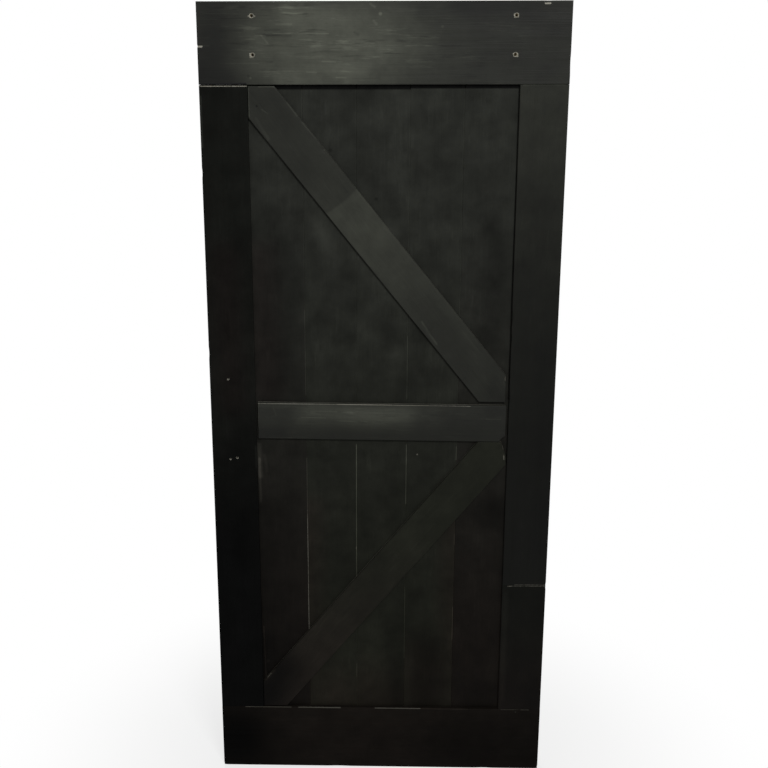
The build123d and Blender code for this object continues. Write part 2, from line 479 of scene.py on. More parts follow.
class Nodes:
    """Small hand for building the nodes of a material or of the world."""

    def __init__(self, owner: bpy.types.ID) -> None:
        """Empties the nodes of a new material or world."""
        self.owner = owner
        owner.use_nodes = True
        self.tree = owner.node_tree
        self.tree.nodes.clear()

    def add(self, kind: str, inputs: dict, **settings: object) -> bpy.types.Node:
        """Adds a node.

        Args:
            kind: its type without the ShaderNode in front.
            inputs: a value or another node's output for each input, by name or number.
            settings: its own options.

        Returns:
            The node.
        """
        node = self.tree.nodes.new(f"ShaderNode{kind}")
        for option, value in settings.items():
            setattr(node, option, value)
        for key, value in inputs.items():
            if isinstance(value, Socket):
                self.tree.links.new(value, node.inputs[key])
            else:
                node.inputs[key].default_value = value
        return node

    def math(self, operation: str, *values: object) -> Socket:
        """A sum, product or the like of one to three numbers."""
        return self.add("Math", dict(enumerate(values)), operation=operation).outputs[0]

    def vector(self, operation: str, *values: object) -> Socket:
        """A sum, product or the like of vectors."""
        return self.add("VectorMath", dict(enumerate(values)), operation=operation).outputs[0]

    def length(self, vector: Socket) -> Socket:
        """A vector's length."""
        return self.add("VectorMath", {0: vector}, operation="LENGTH").outputs[1]

    def span(self, value: Socket, low: float, high: float, start: float = 0.0,
             end: float = 1.0) -> Socket:
        """A value eased from one span to another, and held at its ends.

        Args:
            value: the value.
            low: start of its span.
            high: end of its span.
            start: what the start is eased to.
            end: what the end is eased to.

        Returns:
            The eased value.
        """
        inputs = {"Value": value, "From Min": low, "From Max": high}
        inputs |= {"To Min": start, "To Max": end}
        return self.add("MapRange", inputs, interpolation_type="SMOOTHSTEP").outputs[0]

    def mix(self, share: object, first: object, second: object) -> Socket:
        """A colour between two others."""
        inputs = {0: share, 6: first, 7: second}
        return self.add("Mix", inputs, data_type="RGBA").outputs[2]

    def share(self, name: str) -> Socket:
        """A value stored at the mesh's points."""
        return self.add("Attribute", {}, attribute_name=name).outputs["Fac"]

    def place(self) -> Socket:
        """Object coordinates, in metres."""
        return self.add("TexCoord", {}).outputs["Object"]

    def height(self, place: Socket) -> Socket:
        """Third part of a place."""
        return self.add("SeparateXYZ", {0: place}).outputs[2]

    def surface(self, colour: object, rough: object, relief: object, bump: Place,
                more: dict) -> bpy.types.Material:
        """Ends the material in a shader with a bump.

        Args:
            colour: its colour.
            rough: its roughness.
            relief: the height that the bump follows.
            bump: strength of the bump, and its height in metres.
            more: further inputs of the shader.

        Returns:
            The material.
        """
        inputs = {"Strength": bump[0], "Distance": bump[1], "Height": relief}
        normal = self.add("Bump", inputs).outputs[0]
        inputs = {"Base Color": colour, "Roughness": rough, "Normal": normal} | more
        return self.finish(self.add("BsdfPrincipled", inputs))

    def finish(self, shader: bpy.types.Node, output: str = "OutputMaterial") -> bpy.types.ID:
        """Joins a shader to the output and returns the material or world."""
        self.add(output, {0: shader.outputs[0]})
        return self.owner


@dataclass(frozen=True)
class Grain:
    """Fractal noise, drawn out along the grain where its repeats are not the same.

    Attributes:
        repeats: how often it changes in a metre along, through and across a piece.
        detail: number of finer noises added.
        rough: strength of each to the one before.
    """

    repeats: Triple
    detail: float = 4.0
    rough: float = 0.6

    def at(self, nodes: Nodes, own: Socket) -> Socket:
        """The noise at a place, about 0.2 to 0.8.

        Args:
            nodes: the material's nodes.
            own: the place.

        Returns:
            The noise.
        """
        scaled = nodes.vector("MULTIPLY", own, self.repeats)
        inputs = {"Vector": scaled, "Scale": 1.0, "Detail": self.detail, "Roughness": self.rough}
        return nodes.add("TexNoise", inputs).outputs[0]


@dataclass(frozen=True)
class PaintedPine:
    """Black painted or stained pine, brushed along the grain and worn.

    Attributes:
        name: the material's name.
        foot: paint colour at the lower height.
        head: paint colour at the upper height.
        heights: the two heights, in millimetres.
        seed: moves the pattern, so that no two pieces are alike.
        grain: the grain's angle above level, in degrees.
        specular: strength of the sheen.
        roughness: of the paint.
        blotches: how uneven the paint is in broad patches.
        mottle: how uneven it is in patches of a few centimetres.
        streaks: how strongly brush strokes show.
        scuffs: how strongly short rubs along the grain show.
        worn: how much wood shows along eased edges, from 0 to 1.
        edge_gain: how much lighter the paint is along eased edges.
        wood: how light the bared wood is. Beside the wood's own colour it holds painted light:
        pieces near the top get lighter bared wood than the bottom rail.
        front: depth of the piece's front face, where the strokes lie.
        strokes: marks at their own places.
    """

    name: str
    foot: Colour
    head: Colour
    heights: Place
    seed: int
    grain: float = 0.0
    specular: float = 0.1
    roughness: float = 0.6
    blotches: float = 0.5
    mottle: float = 0.6
    streaks: float = 0.15
    scuffs: float = 0.25
    worn: float = 0.1
    edge_gain: float = 0.3
    wood: float = 1.0
    front: float = CAD_BOX[0].y / MM
    strokes: tuple[Stroke, ...] = ()

    wood_dark = (0.055, 0.052, 0.040)
    wood_pale = (0.16, 0.155, 0.133)
    wood_fresh = (0.86, 0.80, 0.66)
    warm_cast = (1.18, 0.96, 1.0)
    fibres = Grain((5, 260, 260), 5.0)
    brushing = Grain((4, 50, 95))
    patches = Grain((5, 8, 9), 4.0, 0.55)
    rubs = Grain((13, 50, 110), 3.0, 0.65)
    wander = Grain((1.3, 8, 8), 2.0, 0.5)
    mottling = Grain((17, 17, 17), 5.0)
    crumbs = Grain((190, 190, 190), 5.0)
    edge_patches = Grain((9, 9, 9))
    fibre_tone = 0.12
    rub_shift = 3.7
    dark_rubs = 0.7
    least_scuffs = 0.15  # share of the scuffs that shows between their patches
    crumbling = 0.9  # how far the crumbs eat into bare wood and leave paint on it
    edge_wear = 0.3  # how far full wear lowers the noise from which an edge is worn
    brush_roughness = 0.5
    wood_roughness = 0.3
    shift_most = 5.0
    # spans of a noise, with what they are eased to where that isn't 0 to 1
    rub_span = (0.54, 0.72)
    scuff_span = (0.4, 0.6)
    wood_span = (0.3, 0.7)
    bare_span = (0.35, 0.65)
    edge_span = (0.72, 0.8)
    edge_crumb_span = (0.35, 0.6, 0.1, 0.75)
    raw_span = (0.1, 0.5, 0.8, 1.0)
    rings_per_metre = 24.0
    ring_wander = 13.0
    relief_shares = (0.05, 0.8)  # of the growth rings and of the brush strokes, beside the fibres
    bump = (0.5, 0.0006)
    stroke_depth = 9.0  # how far behind the front a stroke still counts

    def material(self) -> bpy.types.Material:
        """Builds the material from object coordinates and the mesh's own shares."""
        nodes = Nodes(bpy.data.materials.new(self.name))
        place = nodes.place()
        own = self.along_grain(nodes, place)
        noises = (self.fibres, self.brushing, self.patches)
        fibre, brush, blotch = (noise.at(nodes, own) for noise in noises)
        tone, wood, warm = self.touched(nodes, place)
        mottle = self.mottling.at(nodes, place)
        patterns = ((blotch, self.blotches), (mottle, self.mottle), (brush, self.streaks))
        tone = self.shaded(nodes, tone, patterns + ((fibre, self.fibre_tone),))
        # Lighter paint along eased edges: worn arrises on the frame, and on the boards painted
        # light that evens out the shade in the V-joints.
        lighter_edges = nodes.math("MULTIPLY_ADD", nodes.share("edge"), self.edge_gain, 1.0)
        tone = nodes.math("MULTIPLY", tone, lighter_edges)
        tone = nodes.math("MULTIPLY", tone, self.scuffed(nodes, own, blotch))
        wood = self.bared(nodes, place, wood, fibre)
        colour = nodes.mix(wood, self.paint(nodes, place, tone, warm), self.timber(nodes, fibre))
        rough = nodes.math("SUBTRACT", brush, 0.5)
        rough = nodes.math("MULTIPLY_ADD", rough, self.brush_roughness, self.roughness)
        rough = nodes.math("MULTIPLY_ADD", wood, self.wood_roughness, rough)
        ring_share, brush_share = self.relief_shares
        relief = nodes.math("MULTIPLY_ADD", self.rings(nodes, own), ring_share, fibre)
        relief = nodes.math("MULTIPLY_ADD", brush, brush_share, relief)
        painted = nodes.math("SUBTRACT", 1.0, wood)
        sheen = nodes.math("MULTIPLY", painted, self.specular)
        return nodes.surface(colour, rough, relief, self.bump, {"Specular IOR Level": sheen})

    def along_grain(self, nodes: Nodes, place: Socket) -> Socket:
        """Place along, through and across the grain, shifted by the seed.

        Args:
            nodes: the material's nodes.
            place: object coordinates.

        Returns:
            The place.
        """
        random = np.random.default_rng(self.seed)
        shift = tuple(random.uniform(-self.shift_most, self.shift_most, 3))
        turn = (0.0, math.radians(self.grain), 0.0)
        inputs = {"Vector": place, "Rotation": turn, "Location": shift}
        return nodes.add("Mapping", inputs, vector_type="POINT").outputs[0]

    def paint(self, nodes: Nodes, place: Socket, tone: Socket, warm: Socket) -> Socket:
        """The paint's colour: from foot to head, times its tone, and browner where it is warm.

        Args:
            nodes: the material's nodes.
            place: object coordinates.
            tone: how much lighter or darker it is.
            warm: share of browner paint.

        Returns:
            The colour.
        """
        rise = nodes.span(nodes.height(place), *(value * MM for value in self.heights))
        paint = nodes.mix(rise, solid(self.foot), solid(self.head))
        paint = nodes.add("VectorMath", {0: paint, "Scale": tone}, operation="SCALE").outputs[0]
        return nodes.mix(warm, paint, nodes.vector("MULTIPLY", paint, self.warm_cast))

    def timber(self, nodes: Nodes, fibre: Socket) -> Socket:
        """The bared wood's colour, paler where it is fresh.

        Args:
            nodes: the material's nodes.
            fibre: noise of the fibres.

        Returns:
            The colour.
        """
        dark, pale = (
            solid(tuple(self.wood * part for part in colour))
            for colour in (self.wood_dark, self.wood_pale)
        )
        old = nodes.mix(nodes.span(fibre, *self.wood_span), dark, pale)
        return nodes.mix(nodes.share("fresh"), old, solid(self.wood_fresh))

    def scuffed(self, nodes: Nodes, own: Socket, blotch: Socket) -> Socket:
        """Tone of short rubs along the grain: peaks of a noise, pale or dark, in patches.

        Args:
            nodes: the material's nodes.
            own: place along, through and across the grain.
            blotch: noise of the broad patches.

        Returns:
            The tone.
        """
        moved = (nodes.vector("ADD", own, (shift, 0, shift)) for shift in (0.0, self.rub_shift))
        pale, dark = (nodes.span(self.rubs.at(nodes, place), *self.rub_span) for place in moved)
        rub = nodes.math("SUBTRACT", pale, nodes.math("MULTIPLY", dark, self.dark_rubs))
        least = self.least_scuffs * self.scuffs
        strength = nodes.span(blotch, *self.scuff_span, least, self.scuffs)
        return nodes.math("MULTIPLY_ADD", rub, strength, 1.0)

    def rings(self, nodes: Nodes, own: Socket) -> Socket:
        """Growth rings of a flat-sawn face: sine of the place across plus slow noise along.

        Args:
            nodes: the material's nodes.
            own: place along, through and across the grain.

        Returns:
            A sine, from -1 to 1.
        """
        across = nodes.height(own)
        slow = nodes.math("MULTIPLY", self.wander.at(nodes, own), self.ring_wander)
        turns = nodes.math("MULTIPLY_ADD", across, self.rings_per_metre, slow)
        return nodes.math("SINE", nodes.math("MULTIPLY", turns, 2 * math.pi))

    def touched(self, nodes: Nodes, place: Socket) -> tuple:
        """Takes up the strokes one after the other.

        Args:
            nodes: the material's nodes.
            place: object coordinates.

        Returns:
            The paint's tone, 1 where nothing touches it, the share of bare wood and that of
            browner paint.
        """
        tone = nodes.math("ADD", 1.0, 0.0)
        shares = {touch: nodes.math("ADD", 0.0, 0.0) for touch in (Touch.BARE, Touch.WARM)}
        for stroke in self.strokes:
            cover = self.cover(nodes, place, stroke)
            if stroke.touch is Touch.TONE:
                gain = nodes.math("MULTIPLY_ADD", cover, stroke.strength, 1.0)
                tone = nodes.math("MULTIPLY", tone, gain)
            else:
                share = nodes.math("MULTIPLY", cover, stroke.strength)
                shares[stroke.touch] = nodes.math("MAXIMUM", shares[stroke.touch], share)
        return tone, shares[Touch.BARE], shares[Touch.WARM]

    def cover(self, nodes: Nodes, place: Socket, stroke: Stroke) -> Socket:
        """How far a stroke covers a place, from 0 to 1.

        The place is moved and turned to the stroke and measured in its half widths, and what
        is left beyond its half length is its distance.

        Args:
            nodes: the material's nodes.
            place: object coordinates.
            stroke: the stroke.

        Returns:
            The cover.
        """
        (x0, z0), (x1, z1) = stroke.start, stroke.end
        middle = ((x0 + x1) / 2 * MM, self.front * MM, (z0 + z1) / 2 * MM)
        turn = (0.0, -math.atan2(z1 - z0, x1 - x0), 0.0)
        unit = stroke.width * MM
        scale = (unit, self.stroke_depth * MM, unit)
        inputs = {"Vector": place, "Location": middle, "Rotation": turn, "Scale": scale}
        near = nodes.add("Mapping", inputs, vector_type="TEXTURE").outputs[0]
        half = math.hypot(x1 - x0, z1 - z0) / 2 / stroke.width
        beyond = nodes.vector("SUBTRACT", nodes.vector("ABSOLUTE", near), (half, 0, 0))
        away = nodes.length(nodes.vector("MAXIMUM", beyond, (0, 0, 0)))
        return nodes.span(away, 1.0, 1.0 - stroke.soft)

    def shaded(self, nodes: Nodes, tone: Socket, patterns: tuple) -> Socket:
        """Adds patches, brush strokes and fibres to the paint's tone.

        Args:
            nodes: the material's nodes.
            tone: the tone so far.
            patterns: noises with their strengths. Each scales the tone by 1 + 2 s (noise - 1/2).

        Returns:
            The tone.
        """
        for pattern, strength in patterns:
            part = nodes.math("SUBTRACT", pattern, 0.5)
            part = nodes.math("MULTIPLY_ADD", part, 2 * strength, 1.0)
            tone = nodes.math("MULTIPLY", tone, part)
        return tone

    def bared(self, nodes: Nodes, place: Socket, wood: Socket, fibre: Socket) -> Socket:
        """Breaks up the bare wood and adds what is worn along edges or was never painted.

        Args:
            nodes: the material's nodes.
            place: object coordinates.
            wood: share of bare wood under the strokes.
            fibre: noise of the fibres.

        Returns:
            Share of bare wood.
        """
        crumb = self.crumbs.at(nodes, place)
        broken = nodes.math("SUBTRACT", crumb, 0.5)
        broken = nodes.math("MULTIPLY_ADD", broken, self.crumbling, wood)
        wood = nodes.span(broken, *self.bare_span)
        patchy = self.edge_patches.at(nodes, place)
        low, high = self.edge_span
        patchy = nodes.span(patchy, low - self.edge_wear * self.worn, high)
        edge = nodes.math("MULTIPLY", nodes.share("edge"), patchy)
        edge = nodes.math("MULTIPLY", edge, nodes.span(crumb, *self.edge_crumb_span))
        raw = nodes.math("MULTIPLY", nodes.share("bare"), nodes.span(fibre, *self.raw_span))
        return nodes.math("MAXIMUM", nodes.math("MAXIMUM", wood, edge), raw)


@dataclass(frozen=True)
class BareWood:
    """Unpainted hardwood, as dowels are turned from: pale, with fibres along the pin."""

    name: str = "bare beech"
    pale: Colour = (0.56, 0.40, 0.24)
    dark: Colour = (0.40, 0.26, 0.14)
    fibres: Grain = Grain((700, 700, 30))
    contrast: Place = (0.3, 0.7)
    roughness: Span = (0.2, 0.8, 0.5, 0.7)
    bump: Place = (0.4, 0.0002)
    specular: float = 0.3

    def material(self) -> bpy.types.Material:
        """Builds the material from object coordinates."""
        nodes = Nodes(bpy.data.materials.new(self.name))
        fibre = self.fibres.at(nodes, nodes.place())
        colour = nodes.mix(nodes.span(fibre, *self.contrast), solid(self.dark), solid(self.pale))
        rough = nodes.span(fibre, *self.roughness)
        return nodes.surface(colour, rough, fibre, self.bump, {"Specular IOR Level": self.specular})


@dataclass(frozen=True)
class ScrewSteel:
    """Dull zinc on steel, with darker dirt in patches."""

    name: str = "dull zinc plated steel"
    bright: Colour = (0.48, 0.47, 0.44)
    dull: Colour = (0.20, 0.19, 0.17)
    stains: Grain = Grain((420, 420, 420))
    contrast: Place = (0.35, 0.65)
    roughness: Span = (0.3, 0.7, 0.55, 0.36)
    bump: Place = (0.3, 0.0001)

    def material(self) -> bpy.types.Material:
        """Builds the material from object coordinates."""
        nodes = Nodes(bpy.data.materials.new(self.name))
        stain = self.stains.at(nodes, nodes.place())
        colour = nodes.mix(nodes.span(stain, *self.contrast), solid(self.dull), solid(self.bright))
        rough = nodes.span(stain, *self.roughness)
        return nodes.surface(colour, rough, stain, self.bump, {"Metallic": 1.0})


@dataclass(frozen=True)
class Edge:
    """Form of a timber's narrow edge.

    Attributes:
        ease: size of its eased corners.
        rounded: true for quarter rounds, false for chamfers.
        half: half the width of the groove or tongue along it.
        depth: depth of the groove, below 0 for a tongue.
        stop: the groove ends this far each way from the middle of the length.
    """

    ease: float = 0.0
    rounded: bool = True
    half: float = 0.0
    depth: float = 0.0
    stop: float | None = None

    def inset(self, from_face: Array) -> Array:
        """How far the edge lies back at a distance from the nearer face.

        A quarter round gives r - sqrt(r squared - (r - d) squared), a chamfer gives r - d.

        Args:
            from_face: distance from the nearer face.

        Returns:
            The inset at each distance.
        """
        short = np.clip(self.ease - from_face, 0, None)
        if self.rounded:
            return self.ease - np.sqrt(np.maximum(self.ease**2 - short**2, 0))
        return short


@dataclass
class Timber:
    """A straight timber: a section with eased corners and a grooved or tongued edge, carried
    along its length, with bores and shaped ends.

    Attributes:
        lay: which way it runs.
        along: its two ends.
        across: its low and high edge.
        through: its front and back face.
        low: form of the low edge.
        high: form of the high edge.
        bores: its holes.
        fingers: side (-1 start, 1 end) of a finger jointed end, 0 if none.
        step_along: widest spacing of its cross lines.
        step_across: widest spacing of its long lines.
        step_through: widest spacing of its lines through the thickness.
        hollows: dents and chips.
        waves: unevenness of its faces.
        wave_depth: depth of that unevenness.
        painted_ends: whether its ends are painted.
    """

    lay: Lay
    along: Place
    across: Place
    through: Place
    low: Edge
    high: Edge
    bores: tuple[Bore, ...] = ()
    fingers: int = 0
    step_along: float = 6.0
    step_across: float = 4.5
    step_through: float = 6.0
    hollows: tuple[Hollow, ...] = ()
    waves: Waves = Waves(1)
    wave_depth: float = 0.5
    painted_ends: bool = False

    finger_count = 7
    finger_length = 11.0
    finger_tip = 1.0
    corner_lines = 5
    end_margin = 1.5  # from an end to the nearest cross line
    face_reach = 2.5  # depth under a face at which its waves have died away
    rim_reach = 4.0  # distance from a rim at which they are whole
    front_reach = 6.0  # depth behind the front to which hollows reach
    fresh_reach = 3.0  # depth in a bore at which its wood is all fresh
    least_fresh = 0.1  # share of fresh wood at its mouth

    def __post_init__(self) -> None:
        """Settles the lines that the timber's surface is drawn on."""
        edges = (self.low, self.high)
        ease = max(edge.ease for edge in edges)
        turns = np.linspace(0, np.pi / 2, self.corner_lines + 1)
        rounded = self.low.rounded and self.high.rounded
        depths = ease * (1 - np.cos(turns) if rounded else turns / turns[-1])
        front, back = self.through
        halves = [edge.half * side for edge in edges for side in (-1, 1)]
        fixed = [front + depths, back - depths, halves, self.finger_lines()]
        fixed += [bore.lines(2) for bore in self.bores]
        self.t_lines = spread(np.clip(np.concatenate(fixed), front, back), self.step_through)
        low, high = self.across
        fixed = [[low + self.low.ease, high - self.high.ease]]
        walls = [max(edge.depth, edge.ease) for edge in edges]
        fixed += [[low + walls[0], high - walls[1]]]
        fixed += [bore.lines(1) for bore in self.bores]
        self.w_lines = spread(np.concatenate(fixed), self.step_across)
        start, end = self.along
        room = self.finger_length + self.end_margin
        fixed = [[start + room * (self.fingers < 0), end - self.end_margin * (self.fingers > 0)]]
        fixed += [bore.lines(0) for bore in self.bores]
        stops = [edge.stop for edge in edges if edge.stop]
        fixed += [[-stop, stop] for stop in stops]
        inner = spread(np.concatenate(fixed), self.step_along)
        self.l_lines = np.unique(np.concatenate([[start], inner, [end]]))
        self.stop = stops[0] if stops else None

    def finger_lines(self) -> Array:
        """Depths through the timber at which the finger joint turns."""
        if not self.fingers:
            return np.empty(0)
        pitch = (self.through[1] - self.through[0]) / self.finger_count
        middles = self.through[0] + (np.arange(self.finger_count) + 0.5) * pitch
        turns = np.array([-(pitch - self.finger_tip) / 2, -self.finger_tip / 2])
        return (middles[:, None] + np.concatenate([turns, -turns])).ravel()

    def finger_rise(self, depth: Array) -> Array:
        """Height of the fingers at a depth: 0 between them, rising straight to the tips.

        Args:
            depth: place through the timber.

        Returns:
            The height at each depth.
        """
        pitch = (self.through[1] - self.through[0]) / self.finger_count
        phase = np.abs((depth - self.through[0]) % pitch - pitch / 2)
        slope = (pitch - 2 * self.finger_tip) / 2
        return self.finger_length * np.clip(((pitch - self.finger_tip) / 2 - phase) / slope, 0, 1)

    def edge_path(self, edge: Edge, line: float, inward: int, worked: bool) -> Array:
        """Path along one edge between the faces, into its groove or round its tongue.

        Args:
            edge: its form.
            line: its place across.
            inward: 1 for the low edge, -1 for the high one.
            worked: false where the groove is stopped, and the path stays on the edge.

        Returns:
            Places across and through, from the front to the back.
        """
        t = self.t_lines[1:-1]
        from_face = np.minimum(t - self.through[0], self.through[1] - t)
        w = line + inward * edge.inset(from_face)
        if not edge.depth:
            return np.column_stack([w, t])
        floor = line + inward * edge.depth
        between = self.w_lines[(self.w_lines - line) * inward > TINY]
        between = between[(floor - between) * inward > TINY]
        wall = np.append(between[::inward], floor)
        if not worked:
            wall, floor = np.full(len(wall), line), line
        before, after = t < TINY - edge.half, t > edge.half - TINY
        within = np.abs(t) < edge.half - TINY
        parts = [
            np.column_stack([w[before], t[before]]),
            np.column_stack([wall, np.full(len(wall), -edge.half)]),
            np.column_stack([np.full(within.sum(), floor), t[within]]),
            np.column_stack([wall[::-1], np.full(len(wall), edge.half)]),
            np.column_stack([w[after], t[after]]),
        ]
        return np.concatenate(parts)

    def loop(self, worked: bool) -> Array:
        """The section's outline: front face, high edge, back face, low edge.

        Args:
            worked: false where a stopped groove has ended.

        Returns:
            Places across and through, in order.
        """
        faces = [np.stack(np.broadcast_arrays(self.w_lines, t), axis=-1) for t in self.through]
        low_worked = worked or self.low.stop is None
        high_worked = worked or self.high.stop is None
        high = self.edge_path(self.high, self.across[1], -1, high_worked)
        low = self.edge_path(self.low, self.across[0], 1, low_worked)
        return np.concatenate([faces[0], high, faces[1][::-1], low[::-1]])

    def opened(self, grid: Array) -> Mask:
        """Opens the bores' mouths in a grid, and tells which of its points fall away."""
        away = np.zeros(grid.shape[:2], bool)
        for bore in self.bores:
            away |= bore.open_up(grid)
        return away

    def body(self) -> tuple[Array, Mask]:
        """Sides of the timber: the outline at each cross line, with the bores' mouths opened.

        Returns:
            The grid, and which of its cells are kept.
        """
        lines, worked = self.l_lines, np.ones(len(self.l_lines), bool)
        if self.stop is not None:
            inside = np.abs(lines) <= self.stop + TINY
            before, after = lines < TINY - self.stop, lines > self.stop - TINY
            parts = [lines[before], lines[inside], lines[after]]
            lines = np.concatenate(parts)
            worked = np.repeat([False, True, False], [len(part) for part in parts])
        outlines = np.where(worked[:, None, None], self.loop(True), self.loop(False))
        grid = np.zeros((*outlines.shape[:2], 3))
        grid[..., 0] = lines[:, None]
        grid[..., 1:] = outlines
        row = {-1: 0, 1: -1}.get(self.fingers)
        if row is not None:
            grid[row, :, 0] += self.finger_rise(grid[row, :, 2])
        return grid, ~np.all(cell_corners(self.opened(grid), ring=True), axis=0)

    def end(self, which: int) -> tuple[Array, Mask]:
        """One end: the grid of long lines and depths, but for the groove and the bores.

        Args:
            which: 0 for the start and 1 for the end.

        Returns:
            The grid, and which of its cells are kept.
        """
        t = self.t_lines
        from_face = np.minimum(t - self.through[0], self.through[1] - t)
        low, high = self.across
        columns = [np.full(len(t), low + self.low.depth)] if self.low.depth < 0 else []
        columns.append(low + self.low.inset(from_face))
        columns += [np.full(len(t), w) for w in self.w_lines]
        columns.append(high - self.high.inset(from_face))
        columns += [np.full(len(t), high - self.high.depth)] if self.high.depth < 0 else []
        w = np.column_stack(columns)
        grid = np.zeros((*w.shape, 3))
        shaped = self.fingers == (-1, 1)[which]
        grid[..., 0] = self.along[which] + (self.finger_rise(t)[:, None] if shaped else 0)
        grid[..., 1] = w
        grid[..., 2] = t[:, None]
        middle = (grid[:-1, :-1] + grid[1:, 1:]) / 2
        keep = np.ones(middle.shape[:2], bool)
        for edge, line, inward in ((self.low, low, 1), (self.high, high, -1)):
            deep = (middle[..., 1] - line) * inward
            thin = np.abs(middle[..., 2]) < edge.half
            if edge.depth > 0 and edge.stop is None:
                keep &= ~(thin & (deep < edge.depth))
            if edge.depth < 0:
                keep &= thin | (deep > 0)
        return grid, keep & ~np.all(cell_corners(self.opened(grid)), axis=0)

    def mesh(self, name: str) -> bpy.types.Mesh:
        """Builds the timber's closed surface, with its wear in the mesh.

        Args:
            name: the mesh's name.

        Returns:
            The mesh.
        """
        skin = Skin()
        for ring, (grid, keep) in ((True, self.body()), (False, self.end(0)), (False, self.end(1))):
            skin.grid(self.lay.to_world(grid), ring, keep)
        lines = (self.l_lines, self.w_lines, self.t_lines)
        for bore in self.bores:
            first, second = (lines[axis] for axis in bore.flat_axes())
            skin.grid(self.lay.to_world(bore.wall(first, second)), ring=True)
        mesh = skin.mesh(name)
        self.mark_shares(mesh)
        self.wear(mesh)
        return mesh

    def margins(self, own: Array) -> Array:
        """Distance of each point from the nearer end, the nearer edge and the nearer face."""
        low, high = np.array([self.along, self.across, self.through]).T
        return np.minimum(own - low, high - own).T

    def bored(self, own: Array) -> Mask:
        """True for points on the wall or the floor of a bore.

        Args:
            own: the points in own axes.

        Returns:
            A value for each point.
        """
        found = np.zeros(len(own), bool)
        for bore in self.bores:
            away = np.linalg.norm(own[:, bore.flat_axes()] - np.array(bore.centre), axis=1)
            places = [place for _, place in bore.profile]
            into = own[:, bore.axis]
            reached = (into > min(places) - TINY) & (into < max(places) + TINY)
            found |= reached & (away < max(radius for radius, _ in bore.mouths()) + TINY)
        return found

    def mark_shares(self, mesh: bpy.types.Mesh) -> None:
        """Stores where the eased corners are, and where the wood is bare or fresh.

        Args:
            mesh: the timber's mesh.
        """
        own = self.lay.to_own(read_points(mesh))
        from_end, from_edge, from_face = self.margins(own)
        nearer_low = own[:, 1] - self.across[0] < self.across[1] - own[:, 1]
        ease = np.where(nearer_low, self.low.ease, self.high.ease)
        corner = (from_face < ease) & (from_edge < ease)
        edge = np.where(corner, 1 - np.abs(from_face - from_edge) / np.maximum(ease, TINY), 0)
        skin_deep = (from_face < ease + TINY) | (np.abs(from_edge) < TINY)
        if self.painted_ends:
            skin_deep |= from_end < TINY
        in_bore = self.bored(own)
        fresh = np.clip(from_face / self.fresh_reach, self.least_fresh, 1)
        write_share(mesh, "edge", edge)
        write_share(mesh, "fresh", np.where(in_bore, fresh, 0))
        write_share(mesh, "bare", (in_bore | ~skin_deep).astype(float))

    def wear(self, mesh: bpy.types.Mesh) -> None:
        """Sinks the painted faces by the waves and the hollows, but not past their own box.

        Args:
            mesh: the timber's mesh.
        """
        points, normals = read_points(mesh), read_points(mesh, "normal")
        own = self.lay.to_own(points)
        from_end, from_edge, from_face = self.margins(own)
        whole = np.clip(np.minimum(from_end, from_edge) / self.rim_reach, 0, 1)
        on_face = np.clip(1 - from_face / self.face_reach, 0, 1) * whole
        depth = self.wave_depth * self.waves.at(own[:, 0], own[:, 1]) * on_face
        front = own[:, 2] < self.through[0] + self.front_reach
        for hollow in self.hollows:
            depth += np.where(front, hollow.sink(points), 0)
        moved = self.lay.to_own(points - normals * depth[:, None])
        low, high = own.min(axis=0), own.max(axis=0)
        write_points(mesh, self.lay.to_world(np.clip(moved, low, high)))


